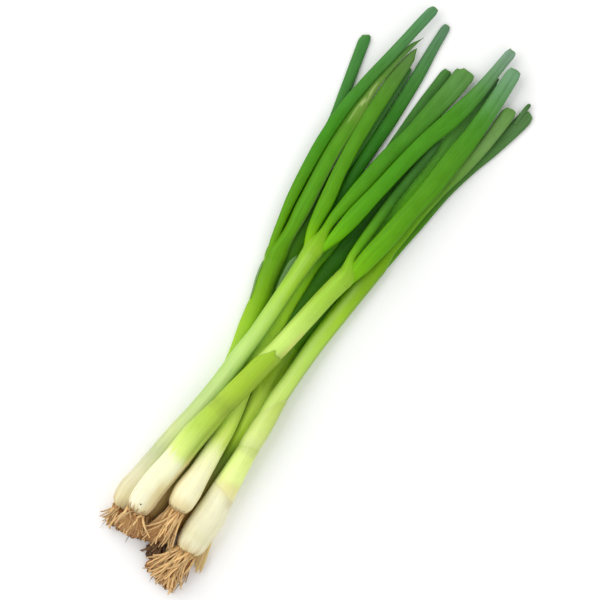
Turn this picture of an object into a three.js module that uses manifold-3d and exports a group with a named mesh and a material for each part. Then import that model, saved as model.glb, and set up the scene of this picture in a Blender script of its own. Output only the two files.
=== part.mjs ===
// A bunch of six spring onions, lying on a surface.
// Millimetres, +Z up. +Y runs along the bunch, from the roots to the leaf tips, and +X is to the right as seen
// from above. The origin is on the surface, under the middle of the bunch.
import * as THREE from "three";
import { mergeVertices } from "three/addons/utils/BufferGeometryUtils.js";
import Module from "manifold-3d";

const wasm = await Module();
wasm.setup();

// Driving dimensions
// The routes below are given from a point on the bunch's long axis, and this puts the bunch's middle at x = y = 0.
const MIDDLE = new THREE.Vector3(3.5, 1.9, 0);
// Least gap between two pieces that touch
const GAP = 0.35;
const STEM_SIDES = 12;
const LEAF_SIDES = 8;
// Length along the bunch of one stretch of a stem or a leaf
const STEM_STRETCH = 10;
const LEAF_STRETCH = 13;
// A cut leaf is a hollow tube: its wall, and how deep its open end is cut in the solid
const LEAF_WALL = 0.8;
const LEAF_HOLLOW_DEPTH = 5;
// Outer sheath: how far it stands out from the stem that it wraps
const SHEATH_THICKNESS = 0.7;
// Roots
const ROOT_SIDES = 3;
const ROOT_STRETCHES = 4;
const ROOT_RADIUS = 0.72;
const ROOT_TIP_RADIUS = 0.42;
const ROOT_FLOOR = 0.5;
// How far a root turns aside over its length (degrees), and the shortest root as a share of the longest
const ROOT_CURL = [-14, 14];
const ROOT_SHORTEST = 0.62;

const STEM_GREEN = 0xb4d45c;
const LEAF_GREEN = 0x4f9a2b;
const DARK_LEAF_GREEN = 0x2f6a2c;
const ROOT_TAN = 0xc79f63;
const ROOT_BROWN = 0x6d4a2a;

// Stems and bulbs. Each row is [y, x, z, width, height] of the middle line, from the root plate up. The bulb is the
// thick part at the start.
const STEMS = {
  left: [
    [-162, -25.5, 6.5, 7, 7],
    [-160, -25.5, 6.5, 11.5, 11.5],
    [-156, -25.7, 6.8, 14.6, 14.2],
    [-150, -25.9, 7.0, 15.2, 14.8],
    [-142, -24.6, 6.9, 14.8, 14.6],
    [-130, -22.8, 7.1, 14.4, 14.2],
    [-110, -20.3, 8.2, 13.4, 13.2],
    [-100, -18.7, 10.2, 12.8, 12.6],
    [-90, -16.9, 12.3, 12.2, 12],
    [-70, -14.2, 13.9, 11.6, 11.4],
    [-45, -12.4, 14.4, 11, 10.8],
    [-30, -11, 14.6, 10.4, 10.3],
    [0, -10, 14.2, 10.2, 10],
    [20, -9.3, 13.4, 11, 9.6],
    [34, -9, 13, 13, 8.6],
    [43, -8, 12.8, 12, 6.4],
  ],
  front: [
    [-160, -15.9, 20.1, 7, 7],
    [-158, -15.9, 20.1, 12, 12],
    [-154, -15.9, 20.3, 15.6, 15.4],
    [-149, -15.8, 20.4, 16.5, 16.3],
    [-140, -15.2, 20.4, 16.5, 16.3],
    [-120, -12.2, 20.8, 15.6, 15.4],
    [-105, -10.6, 21.8, 15.8, 15.4],
    [-90, -7.8, 22.8, 14.5, 14.3],
    [-80, -5.7, 22.5, 13.3, 13.2],
    [-60, -1.3, 21.6, 12.4, 12],
    [-50, 0.8, 21, 12, 12],
    [-30, 5, 19.6, 11.7, 11.7],
    [-10, 8.6, 17.8, 11.8, 11.6],
    [10, 12.3, 16.4, 11.8, 11.2],
    [28, 16.4, 15.4, 12.6, 10],
    [38, 18.4, 15, 13.4, 7],
  ],
  middle: [
    [-146, 4.2, 17.1, 7, 7],
    [-144, 4.2, 17.1, 12, 12],
    [-140, 4.1, 17.4, 15.6, 15.4],
    [-133, 3.9, 17.8, 16.6, 16.4],
    [-126, 4, 17.5, 15.2, 15],
    [-118, 4.2, 16.8, 13.3, 13.1],
    [-100, 3.9, 15.4, 11.8, 11.7],
    [-90, 3.5, 14, 11.4, 11.3],
    [-80, 2.3, 11.8, 11, 10.9],
    [-70, 0.6, 9.8, 10.8, 10.4],
    [-60, -1.4, 8.4, 10.6, 10],
    [-45, -4.4, 6.6, 10, 9.4],
    [-30, -6.6, 5.2, 9.6, 8.8],
    [-20, -5.8, 4.9, 9.2, 8.8],
    [0, -4.7, 4.8, 9, 8.8],
    [20, -5.1, 4.8, 9.4, 8.6],
    [32, -5.2, 4.4, 10.6, 7],
  ],
  right: [
    [-165, 22, 8.4, 8, 8],
    [-163, 22, 8.4, 13, 13],
    [-158, 22, 8.65, 18.5, 18],
    [-150, 22, 9.25, 19.7, 19.3],
    [-140, 22.8, 9.15, 19.4, 19],
    [-130, 22.6, 9.9, 17.2, 17],
    [-120, 22, 11, 15.3, 15.1],
    [-105, 21.7, 12.3, 13, 12.9],
    [-90, 21, 12.9, 12.5, 12.3],
    [-70, 20.3, 13, 12, 11.8],
    [-60, 19.8, 12.7, 11.5, 11.4],
    [-40, 20.7, 10.8, 10.4, 10.4],
    [-20, 21.6, 8, 11, 10.6],
    [0, 23.5, 6, 11.5, 11],
    [20, 25.6, 5.6, 12, 11],
    [40, 28, 5.4, 12.4, 10.6],
    [52, 29.8, 5.2, 13, 8],
  ],
  outer: [
    [-158, -8.2, 5.9, 6.5, 6.5],
    [-156, -8.2, 5.9, 10, 10],
    [-150, -8.1, 6, 12.8, 12.6],
    [-140, -8, 6.2, 13.2, 12.9],
    [-120, -7.6, 5.8, 12.2, 12],
    [-100, -7.4, 4.8, 11.4, 10],
    [-80, -9.5, 4, 11, 8.6],
    [-60, -12.8, 3.8, 11, 8],
    [-45, -15.3, 4, 11, 8.4],
    [-30, -18, 4.6, 12, 9.6],
    [-10, -21.3, 5, 12.2, 10.4],
    [0, -24, 5.1, 12.4, 10.6],
    [10, -25.6, 5.1, 12.8, 10.8],
    [20, -27.4, 5.2, 14, 10.6],
    [29, -28.6, 5.2, 14, 9],
  ],
  under: [
    [-166, 6.5, 4.5, 6, 6],
    [-164, 6.5, 4.5, 8.5, 8.5],
    [-158, 6.8, 4.7, 10.2, 10],
    [-140, 8.3, 4.7, 10.2, 10],
    [-120, 10.3, 4.6, 10, 9.9],
    [-100, 12.3, 4.6, 9.8, 9.8],
    [-80, 12.2, 4.6, 9.8, 9.8],
    [-60, 11.8, 4.6, 9.6, 9.6],
    [-40, 10.6, 4.5, 9.6, 9.4],
    [-25, 8.8, 4.4, 10, 9],
    [-14, 7.6, 4.2, 11, 7.4],
  ],
};

// Leaves, in rows of the same kind. Each starts inside the top of its own stem.
const LEAVES = {
  left_1: [
    [26, -11.8, 12.9, 5, 4.8],
    [40, -16, 11.6, 6.8, 5],
    [60, -18.2, 9.6, 9.4, 4.8],
    [80, -21, 7.8, 8.6, 4.6],
    [100, -22.3, 6.4, 8.6, 4.4],
    [120, -22.8, 5.6, 9.2, 4],
    [140, -22.6, 5.3, 9, 3.6],
    [155, -21.4, 4.8, 7, 3.2],
    [166, -20.3, 4.4, 3, 2.6],
  ],
  left_2: [
    [36, -9.4, 12.8, 4.6, 4.2],
    [50, -9, 11.8, 6.1, 4.8],
    [60, -7.6, 11, 7.6, 4.8],
    [80, -4.3, 9.4, 9.6, 4.4],
    [100, -0.8, 8.2, 10.2, 4.2],
    [120, 4.2, 7.6, 10.4, 4],
    [140, 7.8, 7.2, 11.6, 3.6],
    [160, 11, 6.6, 12.4, 3.2],
    [170.5, 12, 6.2, 13, 3],
  ],
  left_3: [
    [33, -4.6, 13.2, 4.6, 4.4],
    [46, -1.4, 13.6, 8.6, 5.2],
    [60, 1.2, 13.4, 10.4, 5],
    [80, 5, 12.6, 9.4, 4.8],
    [100, 8.8, 11.6, 9.5, 4.6],
    [120, 13.3, 10.8, 9.8, 4.4],
    [140, 19.5, 9.8, 11, 4],
    [160, 24.3, 8.8, 9.2, 3.6],
    [180, 26.9, 7.8, 7, 3.2],
    [195, 29, 7.2, 6.6, 3],
  ],
  front_1: [
    [24, 18.4, 15.6, 6, 5.2],
    [40, 21.2, 15.4, 11, 5.4],
    [60, 25, 14.2, 12, 5.2],
    [80, 27.8, 13.2, 11.2, 5],
    [100, 31.2, 12.2, 12.2, 4.8],
    [120, 33.3, 11.2, 12.4, 4.4],
    [140, 35.5, 10.2, 11.2, 4.2],
    [160, 36.3, 9.2, 10.4, 3.8],
    [186, 36.6, 8, 9.2, 3.2],
  ],
  front_2: [
    [24, 12.9, 14.6, 4.6, 4.4],
    [40, 12.8, 12.8, 5.6, 4.6],
    [60, 14, 10.2, 6.4, 4.4],
    [80, 15.2, 8.4, 6.2, 4],
    [100, 17.2, 7.2, 6, 3.6],
    [118, 19.6, 6.6, 5.2, 3.2],
    [128, 20.9, 6.4, 4, 2.8],
  ],
  middle_1: [
    [24, -7.6, 4.4, 4.2, 4.4],
    [40, -9, 3.6, 6, 4.4],
    [60, -11.6, 2.8, 7.4, 4.2],
    [80, -12.6, 2.4, 7.8, 4],
    [100, -12.1, 2.2, 8, 3.8],
    [120, -11.3, 1.9, 8.2, 3.6],
    [150, -11.5, 1.5, 8, 3.4],
    [175, -12.6, 1.3, 6.4, 3],
    [188, -12.8, 1.3, 5.4, 2.8],
  ],
  middle_2: [
    [24, -2.6, 4.4, 4.2, 4.4],
    [40, -1.5, 3.8, 6, 4.4],
    [60, -0.9, 2.8, 7.2, 4.2],
    [80, -1.3, 2.4, 7.6, 4],
    [100, -1.4, 2.2, 7.8, 3.6],
    [120, -0.6, 1.8, 7.8, 3.4],
    [140, 0.4, 1.5, 7.6, 3.2],
    [158, 1.7, 1.4, 7, 3.1],
    [165, 2.1, 1.4, 6.4, 3],
  ],
  right_1: [
    [42, 28.4, 7.6, 5.4, 4.2],
    [55, 30, 8, 7, 4.8],
    [70, 31.4, 7.6, 8, 4.6],
    [80, 32.6, 7.4, 8, 4.4],
    [100, 36.1, 7, 8, 4.2],
    [120, 41, 6.6, 8.2, 4],
    [140, 44.7, 6, 8, 3.8],
    [160, 46.5, 5.2, 8.8, 3.4],
    [165, 46.8, 5, 8.4, 3.2],
  ],
  right_2: [
    [42, 31, 2.9, 5.6, 4],
    [60, 33.3, 2.6, 6.6, 4.2],
    [80, 36.4, 2.3, 7.2, 3.8],
    [100, 39.4, 2.1, 7.2, 3.6],
    [120, 44.3, 1.8, 7.4, 3.4],
    [140, 50.6, 1.5, 7.8, 3.3],
    [160, 55.6, 1.4, 9, 3.1],
    [169, 57.4, 1.3, 9.2, 3],
  ],
  outer_1: [
    [19, -31.6, 7.6, 4.4, 4.2],
    [35, -34.7, 7.6, 5.2, 4.8],
    [50, -36.9, 7.6, 6.4, 4.8],
    [70, -38.6, 7.5, 7.2, 4.6],
    [90, -39.5, 7.5, 7.2, 4.4],
    [110, -38.9, 7.6, 7, 4.2],
    [130, -36.2, 8.2, 7, 4],
    [150, -32.3, 8.8, 6.8, 3.8],
    [165, -29.3, 8.4, 6.8, 3.6],
    [180, -26.6, 7.4, 6.9, 3.4],
    [192.5, -24.2, 6.6, 6.6, 3],
  ],
  outer_2: [
    [19, -25.4, 7.6, 5.4, 4.4],
    [35, -27, 7.3, 8.6, 5],
    [50, -28, 7, 9.8, 4.8],
    [70, -29.8, 6.2, 9.6, 4.6],
    [90, -31.2, 5.4, 9.2, 4.4],
    [110, -31, 5.2, 8.4, 4],
    [130, -30.6, 5.9, 6, 3.4],
    [150, -27.6, 6.6, 3.8, 2.8],
    [164, -24.6, 6, 3.2, 2.4],
    [173.5, -20.6, 5.5, 1.6, 1.4],
  ],
  outer_3: [
    [19, -31, 2.6, 5.4, 3.8],
    [40, -34.2, 2.4, 6.4, 3.8],
    [60, -37, 2.3, 6.8, 3.8],
    [80, -39, 2.2, 7, 3.8],
    [100, -40, 2, 7, 3.6],
    [120, -43.7, 1.7, 7, 3.6],
    [140, -47.6, 1.5, 7.2, 3.4],
    [157.5, -51.2, 1.4, 7.3, 3.1],
  ],
  outer_4: [
    [19, -25, 2.6, 5.4, 3.8],
    [45, -24.4, 2.2, 6.4, 3.6],
    [70, -22.5, 2, 6.4, 3.4],
    [95, -20.5, 1.7, 6.2, 3.2],
    [120, -19.4, 1.5, 6.2, 3.2],
    [145, -18.9, 1.4, 5.8, 3],
    [154, -18.4, 1.4, 4.6, 3],
  ],
  under_1: [
    [-22, 10.3, 4.2, 4.2, 4.2],
    [0, 10.8, 3.4, 6.4, 4.6],
    [20, 12.2, 2.8, 7, 4.4],
    [40, 14.1, 2.5, 7.2, 4.2],
    [60, 16.4, 2.3, 7.4, 4],
    [80, 19, 2.1, 7.4, 3.8],
    [100, 21.4, 1.9, 7.6, 3.6],
    [120, 23.6, 1.9, 7.8, 3.4],
    [140, 26.9, 2.3, 7.4, 3.4],
    [160, 29.2, 2.8, 6, 3],
    [176.5, 30.5, 3.2, 3.8, 2.6],
  ],
  under_2: [
    [-22, 5.6, 4.2, 4.2, 4.2],
    [0, 3.9, 3.4, 5.6, 4.6],
    [20, 4.9, 2.8, 6.2, 4.2],
    [40, 6.6, 2.4, 6.6, 4],
    [60, 8.7, 2.2, 6.8, 3.8],
    [80, 11.4, 2, 6.8, 3.6],
    [100, 14, 1.7, 6, 3.4],
    [116, 16.4, 1.5, 4, 3],
  ],
};

// The leaves that are darker and bluer than the rest
const DARK_LEAVES = ["middle_1", "middle_2", "right_2", "outer_3", "outer_4", "under_1", "under_2"];

// Root tufts: how many roots, how long the longest is, how far its tip sinks, how far they fan out to each side
// (degrees, left and right), and how far below and above the bulb's axis they set out (degrees).
const ROOT_TUFTS = {
  left: { roots: 10, length: 17, drop: 3, fan: [-24, 22], rise: [-16, 20], colour: ROOT_TAN, seed: 11 },
  front: { roots: 14, length: 16, drop: 6, fan: [-44, 44], rise: [-30, 14], colour: ROOT_TAN, seed: 23 },
  middle: { roots: 16, length: 30, drop: 7, fan: [-25, 21], rise: [-10, 12], colour: ROOT_TAN, seed: 37 },
  right: { roots: 20, length: 26.5, drop: 5, fan: [-36, 20], rise: [-12, 24], colour: ROOT_TAN, seed: 41 },
  outer: { roots: 8, length: 18, drop: 3, fan: [-22, 22], rise: [-14, 22], colour: ROOT_TAN, seed: 53 },
  under: { roots: 9, length: 15, drop: 2, fan: [-26, 22], rise: [-14, 20], colour: ROOT_BROWN, seed: 67 },
};

// Outer sheaths: where along the stem each starts and where its lip is, at the right side (0 degrees), the top (90),
// the left (180) and the underside (270).
const SHEATHS = {
  front: { from: -75, lip: [[0, -37], [60, -35], [90, -36.5], [180, -45], [270, -46], [360, -37]] },
  right: { from: -95, lip: [[0, -55], [60, -57], [110, -66], [180, -78], [270, -70], [360, -55]] },
};

// A smooth curve through points [t, value], without overshoot between them
function smoothValue(points, t) {
  const last = points.length - 1;
  if (t <= points[0][0]) return points[0][1];
  if (t >= points[last][0]) return points[last][1];
  const rise = (i) => (points[i + 1][1] - points[i][1]) / (points[i + 1][0] - points[i][0]);
  const slope = (i) => {
    if (i === 0) return rise(0);
    if (i === last) return rise(last - 1);
    const before = rise(i - 1);
    const after = rise(i);
    return before * after <= 0 ? 0 : (2 * before * after) / (before + after);
  };
  let i = 0;
  while (t > points[i + 1][0]) i += 1;
  const span = points[i + 1][0] - points[i][0];
  const u = (t - points[i][0]) / span;
  const straight = points[i][1] * (1 - u) ** 2 * (1 + 2 * u) + points[i + 1][1] * u ** 2 * (3 - 2 * u);
  return straight + span * u * (1 - u) * (slope(i) * (1 - u) - slope(i + 1) * u);
}

// The route of a stem or a leaf: its centre, and its half width and half height, at each y
class Route {
  constructor(rows, grow = 0) {
    this.columns = [1, 2, 3, 4].map((column) => rows.map((row) => [row[0], row[column]]));
    this.start = rows[0][0];
    this.end = rows[rows.length - 1][0];
    this.grow = grow;
  }

  at(y) {
    const [x, z, width, height] = this.columns.map((points) => smoothValue(points, y));
    return {
      centre: new THREE.Vector3(x, y, z),
      halfWidth: width / 2 + this.grow,
      halfHeight: height / 2 + this.grow,
    };
  }

  // Where each ring of the skin stands: at the ends of even stretches
  rings(stretch, from = this.start, to = this.end) {
    const steps = Math.max(2, Math.round((to - from) / stretch));
    return Array.from({ length: steps + 1 }, (_, i) => from + ((to - from) * i) / steps);
  }
}

// A point on the oval ring of a route at y, at an angle from its right side. Rings stand square to the route.
function ringPoint(route, y, angle, inset = 0) {
  const { centre, halfWidth, halfHeight } = route.at(y);
  const ahead = route.at(Math.min(y + 1, route.end)).centre;
  const behind = route.at(Math.max(y - 1, route.start)).centre;
  const along = ahead.sub(behind).normalize();
  const side = new THREE.Vector3().crossVectors(along, new THREE.Vector3(0, 0, 1)).normalize();
  const up = new THREE.Vector3().crossVectors(side, along);
  const point = centre
    .addScaledVector(side, Math.cos(angle) * (halfWidth - inset))
    .addScaledVector(up, Math.sin(angle) * (halfHeight - inset));
  point.z = Math.max(point.z, 0);
  return point;
}

// A closed skin over rings of points, in order, with a fan to the middle of the first and of the last ring
function skin(rings) {
  const sides = rings[0].length;
  const positions = [];
  const indices = [];
  const middle = (ring) => ring.reduce((sum, p) => sum.add(p), new THREE.Vector3()).divideScalar(sides);
  rings.forEach((ring) => ring.forEach((p) => positions.push(p.x, p.y, p.z)));
  const first = middle(rings[0]);
  const last = middle(rings[rings.length - 1]);
  const firstIndex = positions.length / 3;
  positions.push(first.x, first.y, first.z, last.x, last.y, last.z);
  for (let r = 0; r < rings.length - 1; r += 1) {
    for (let s = 0; s < sides; s += 1) {
      const a = r * sides + s;
      const b = r * sides + ((s + 1) % sides);
      indices.push(a, a + sides, b, b, a + sides, b + sides);
    }
  }
  const top = (rings.length - 1) * sides;
  for (let s = 0; s < sides; s += 1) {
    const next = (s + 1) % sides;
    indices.push(firstIndex, s, next, firstIndex + 1, top + next, top + s);
  }
  const geometry = new THREE.BufferGeometry();
  geometry.setAttribute("position", new THREE.Float32BufferAttribute(positions, 3));
  geometry.setIndex(indices);
  return geometry;
}

// Angles of a ring's points: a flat side faces straight down
function ringAngles(sides) {
  return Array.from({ length: sides }, (_, i) => ((i + 0.5) / sides) * 2 * Math.PI - Math.PI / 2);
}

function solidOf(geometry) {
  const merged = mergeVertices(geometry, 1e-4);
  return new wasm.Manifold(
    new wasm.Mesh({
      numProp: 3,
      vertProperties: merged.attributes.position.array,
      triVerts: new Uint32Array(merged.index.array),
    }),
  );
}

function geometryOf(solid) {
  const mesh = solid.getMesh();
  const positions = new Float32Array(mesh.numVert * 3);
  for (let i = 0; i < mesh.numVert; i += 1) {
    positions.set(mesh.vertProperties.subarray(i * mesh.numProp, i * mesh.numProp + 3), i * 3);
  }
  const geometry = new THREE.BufferGeometry();
  geometry.setAttribute("position", new THREE.BufferAttribute(positions, 3));
  geometry.setIndex(new THREE.BufferAttribute(mesh.triVerts, 1));
  return geometry;
}

// The largest body of a solid, where cutting left small scraps beside it
function largestBody(solid) {
  return solid.decompose().reduce((best, body) => (body.volume() > best.volume() ? body : best));
}

// A leaf: an oval tube, closed where it starts in its stem and open at its cut end
function leafGeometry(rows) {
  const route = new Route(rows);
  const angles = ringAngles(LEAF_SIDES);
  const ring = (y, inset) => angles.map((angle) => ringPoint(route, y, angle, inset));
  const outside = route.rings(LEAF_STRETCH).map((y) => ring(y, 0));
  if (rows[rows.length - 1][4] <= 2 * LEAF_WALL + 1) return skin(outside);
  const inside = [ring(route.end, LEAF_WALL), ring(route.end - LEAF_HOLLOW_DEPTH, LEAF_WALL)];
  return skin([...outside, ...inside]);
}

// The room that a leaf takes up in its stem, with the gap round it
function leafSocket(rows) {
  const route = new Route(rows, GAP);
  const end = rows[0][0] + 3 * LEAF_STRETCH;
  const angles = ringAngles(LEAF_SIDES);
  const ys = route.rings(LEAF_STRETCH).filter((y) => y <= end);
  const rings = ys.map((y) => angles.map((angle) => ringPoint(route, y, angle)));
  rings[0].forEach((point) => {
    point.y -= GAP;
  });
  return solidOf(skin(rings));
}

function stemRings(rows) {
  const route = new Route(rows);
  const bulbEnd = rows.slice(0, 4).map((row) => row[0]);
  const beyond = route.rings(STEM_STRETCH, bulbEnd[3]).slice(1);
  return [...bulbEnd, ...beyond].map((y) =>
    ringAngles(STEM_SIDES).map((angle) => ringPoint(route, y, angle)),
  );
}

// The outer sheath: a sleeve a little wider than the stem, whose upper edge runs round it as a slanting lip
function sheathSolid(rows, { from, lip }) {
  const route = new Route(rows, SHEATH_THICKNESS);
  const angles = ringAngles(STEM_SIDES * 2);
  const steps = 5;
  const rings = Array.from({ length: steps + 1 }, (_, i) =>
    angles.map((angle) => {
      const degrees = (THREE.MathUtils.radToDeg(angle) + 360) % 360;
      const y = from + ((smoothValue(lip, degrees) - from) * i) / steps;
      const inset = i === 0 ? SHEATH_THICKNESS * 1.5 : 0;
      return ringPoint(route, y, angle, inset);
    }),
  );
  return solidOf(skin(rings));
}

// A stem with its bulb and its outer sheath, if it has one, cut out where its own leaves come out
function stemSolid(name) {
  const rows = STEMS[name];
  let solid = solidOf(skin(stemRings(rows)));
  if (SHEATHS[name]) solid = solid.add(sheathSolid(rows, SHEATHS[name]));
  Object.keys(LEAVES)
    .filter((leaf) => leaf.startsWith(name))
    .forEach((leaf) => {
      solid = solid.subtract(leafSocket(LEAVES[leaf]));
    });
  return largestBody(solid);
}

// A seeded draw of numbers from 0 to 1
function seededDraw(seed) {
  let state = seed;
  return () => {
    state = (state * 1664525 + 1013904223) % 4294967296;
    return state / 4294967296;
  };
}

// One root: a thin tapered strand that sets out from the root plate and bends aside and down
function rootSolid({ start, yaw, pitch, curl, length, drop }) {
  const rings = [];
  for (let i = 0; i <= ROOT_STRETCHES; i += 1) {
    const t = i / ROOT_STRETCHES;
    const turned = yaw + curl * t;
    const radius = THREE.MathUtils.lerp(ROOT_RADIUS, ROOT_TIP_RADIUS, t);
    const point = new THREE.Vector3(
      start.x + Math.sin(turned) * length * t,
      start.y - Math.cos(turned) * Math.cos(pitch) * length * t,
      start.z + Math.sin(pitch) * length * t - drop * t * t,
    );
    point.z = Math.max(point.z, ROOT_FLOOR + radius);
    rings.push(
      Array.from({ length: ROOT_SIDES }, (_, s) => {
        const angle = (s / ROOT_SIDES) * 2 * Math.PI + Math.PI / 2;
        return point.clone().add(new THREE.Vector3(-Math.cos(angle) * radius, 0, Math.sin(angle) * radius));
      }),
    );
  }
  return solidOf(skin(rings));
}

// The root plate: a thick disc close against the end of the bulb
function rootPlate(rows) {
  const end = new THREE.Vector3(rows[0][1], rows[0][0] - GAP, rows[0][2]);
  // How far each ring is from the bulb, and its radius as a share of the bulb's end
  const profile = [
    [0, 0.9],
    [1.2, 1],
    [2.4, 0.6],
  ];
  const rings = profile.map(([back, share]) =>
    ringAngles(STEM_SIDES)
      .map((angle) => {
        const radius = (rows[0][3] / 2) * share;
        return new THREE.Vector3(
          end.x + Math.cos(angle) * radius,
          end.y - back,
          Math.max(end.z + Math.sin(angle) * radius, 0),
        );
      })
      .reverse(),
  );
  return solidOf(skin(rings));
}

// A tuft: the root plate with its roots fused to it. A root that comes too close to another piece is drawn again.
function tuftSolid(name, others) {
  const rows = STEMS[name];
  const { roots, length, drop, fan, rise, seed } = ROOT_TUFTS[name];
  const draw = seededDraw(seed);
  const plateRadius = rows[0][3] / 2;
  const between = ([low, high], share) => THREE.MathUtils.degToRad(low + (high - low) * share);
  const parts = [rootPlate(rows)];
  for (let tries = 0; parts.length <= roots && tries < roots * 30; tries += 1) {
    const share = draw();
    const angle = draw() * 2 * Math.PI;
    const out = Math.sqrt(draw()) * plateRadius * 0.75;
    const start = new THREE.Vector3(
      rows[0][1] + Math.cos(angle) * out,
      rows[0][0] - GAP - 0.9,
      rows[0][2] + Math.sin(angle) * out,
    );
    const root = rootSolid({
      start,
      yaw: between(fan, share),
      pitch: between(rise, draw()),
      curl: between(ROOT_CURL, draw()),
      length: length * THREE.MathUtils.lerp(ROOT_SHORTEST, 1, draw()),
      drop,
    });
    const free = others.every((other) => root.minGap(other, GAP + 0.1) >= GAP);
    if (free) parts.push(root);
  }
  return largestBody(wasm.Manifold.union(parts));
}

function material(colour, roughness) {
  return new THREE.MeshStandardMaterial({ color: colour, roughness, metalness: 0 });
}

const bunch = new THREE.Group();
bunch.name = "spring_onion_bunch";
const placed = [];

function place(name, solid, finish) {
  const mesh = new THREE.Mesh(geometryOf(solid), finish);
  mesh.geometry.computeVertexNormals();
  mesh.name = name;
  mesh.position.copy(MIDDLE).negate();
  bunch.add(mesh);
  placed.push(solid);
}

Object.keys(STEMS).forEach((name) => {
  place(`stem_${name}`, stemSolid(name), material(STEM_GREEN, 0.42));
});
Object.entries(LEAVES).forEach(([name, rows]) => {
  const colour = DARK_LEAVES.includes(name) ? DARK_LEAF_GREEN : LEAF_GREEN;
  place(`leaf_${name}`, solidOf(leafGeometry(rows)), material(colour, 0.45));
});
Object.keys(ROOT_TUFTS).forEach((name) => {
  place(`roots_${name}`, tuftSolid(name, placed), material(ROOT_TUFTS[name].colour, 0.85));
});

export default bunch;
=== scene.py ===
"""The looks of a bunch of spring onions that lies on a pale floor.

Every route is given in millimetres, as in the CAD model: rows of (y, x, z, width, height) along the bunch,
from the roots to the leaf tips. MIDDLE is taken off them, and the meshes are in metres in the frame of the
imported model.
"""

import logging
import math
from dataclasses import dataclass, replace
from enum import Enum
from typing import Iterable, Mapping, Optional, Sequence, Union

import bpy
import numpy as np
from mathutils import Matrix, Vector


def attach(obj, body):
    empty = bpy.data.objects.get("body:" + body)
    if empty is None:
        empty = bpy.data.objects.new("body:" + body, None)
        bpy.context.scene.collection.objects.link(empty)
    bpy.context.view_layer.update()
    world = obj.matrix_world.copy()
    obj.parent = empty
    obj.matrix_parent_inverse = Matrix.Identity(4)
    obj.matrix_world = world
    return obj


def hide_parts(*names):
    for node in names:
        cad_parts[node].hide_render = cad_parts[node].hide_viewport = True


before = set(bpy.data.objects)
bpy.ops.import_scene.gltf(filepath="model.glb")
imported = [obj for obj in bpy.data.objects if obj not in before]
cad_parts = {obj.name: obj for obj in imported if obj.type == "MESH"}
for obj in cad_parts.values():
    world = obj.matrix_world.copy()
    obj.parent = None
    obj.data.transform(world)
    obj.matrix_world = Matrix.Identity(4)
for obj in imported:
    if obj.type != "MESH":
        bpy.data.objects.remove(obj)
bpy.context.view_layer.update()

logging.basicConfig(level=logging.INFO, format="%(message)s")
LOG = logging.getLogger("spring_onions")

Array = np.ndarray
Socket = bpy.types.NodeSocket
Row = tuple[float, float, float, float, float]
Colour = tuple[int, int, int]
Stop = tuple[float, Colour]
Lip = tuple[tuple[float, float], ...]
# The points of a tube, their heights and angles, and the marks of its inner wall and its rim
Tube = tuple[Array, Array, Array, Array, Array]

MILLIMETRE = 0.001
MIDDLE = np.array([3.5, 1.9, 0.0])
BODY = "root"

# Points round each ring of a mesh
STEM_SIDES = 56
LEAF_SIDES = 36
STRIP_SIDES = 20
PLATE_SIDES = 28
MAT_SIDES = 96
# Length along the bunch of one stretch of a mesh (mm)
STRETCH = 1.5
# The first seeds of the stems and of the leaves
STEM_SEEDS = 3
LEAF_SEEDS = 40

# Share of a patch's spread over which it keeps its full strength
PATCH_CORE = 0.3
# Radius of the round that the vein pattern is wrapped on (mm)
VEIN_ROUND = 5.0
# Where the values of a noise mostly lie
NOISE_SPAN = (0.3, 0.7)
# Shares of the mottling in a skin's tone and in its bump, and of the specks in its colour
MOTTLE_IN_TONE = 0.6
MOTTLE_IN_BUMP = 0.8
SPECK_STRENGTH = 0.35
# Depth of the fine bumps (m), and how far each colour glows through a skin
BUMP_DEPTH = 0.0002
GLOW_SPREAD = (0.9, 1.0, 0.45)


class Slot(Enum):
    """The record's material slots."""

    STEM = "bulb_and_stem"
    LEAF = "leaf"
    DARK_LEAF = "dark_leaf"
    ROOT = "root"
    DARK_ROOT = "dark_root"


class Stain(Enum):
    """The three kinds of local colour on a skin, and their place in its attribute: a dry tan, painted shade,
    and pale marks with painted highlights.
    """

    # The tan of dry skin
    WARM = 0
    # Painted shade, where a side turns from the light or lies against its neighbours
    DARK = 1
    # Pale marks such as cracks and a sheath's margin, and painted highlights
    PALE = 2


WARM, DARK, PALE = Stain


@dataclass(frozen=True)
class Patch:
    """A soft-edged patch of one kind of local colour, between two heights in mm and round one angle in
    degrees.

    An angle of 0 is the right side of the piece, 90 its top and 180 its left side.
    """

    stain: Stain
    y: tuple[float, float]
    angle: float
    spread: float
    strength: float
    soft: float


def smooth_values(knots: Array, values: Array, at: Array) -> Array:
    """Reads a smooth curve without overshoot, the same one as in the CAD model.

    Args:
        knots: Where the values are given, in rising order.
        values: The value at each knot.
        at: Where to read the curve.

    Returns:
        The curve's value at each place.
    """
    at = np.clip(at, knots[0], knots[-1])
    span = np.diff(knots)
    rise = np.diff(values) / span
    slope = np.empty_like(values)
    slope[0], slope[-1] = rise[0], rise[-1]
    product = rise[:-1] * rise[1:]
    total = np.where(product > 0, rise[:-1] + rise[1:], 1.0)
    slope[1:-1] = np.where(product > 0, 2 * product / total, 0.0)
    i = np.clip(np.searchsorted(knots, at, side="left") - 1, 0, len(span) - 1)
    u = (at - knots[i]) / span[i]
    straight = values[i] * (1 - u) ** 2 * (1 + 2 * u) + values[i + 1] * u**2 * (3 - 2 * u)
    return straight + span[i] * u * (1 - u) * (slope[i] * (1 - u) - slope[i + 1] * u)


def smooth_step(low: float, high: float, at: Array) -> Array:
    """Rises smoothly from 0 at low to 1 at high."""
    u = np.clip((at - low) / (high - low), 0.0, 1.0)
    return u * u * (3 - 2 * u)


def lip_height(lip: Lip, angle: Array) -> Array:
    """Reads a lip's height (mm) at an angle in radians."""
    table = np.array(lip, float)
    return smooth_values(table[:, 0], table[:, 1], np.degrees(angle) % 360)


def ring_angles(sides: int) -> Array:
    """Gives the angles of a ring's points, with a flat side straight down."""
    return (np.arange(sides) + 0.5) / sides * 2 * np.pi - np.pi / 2


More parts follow.
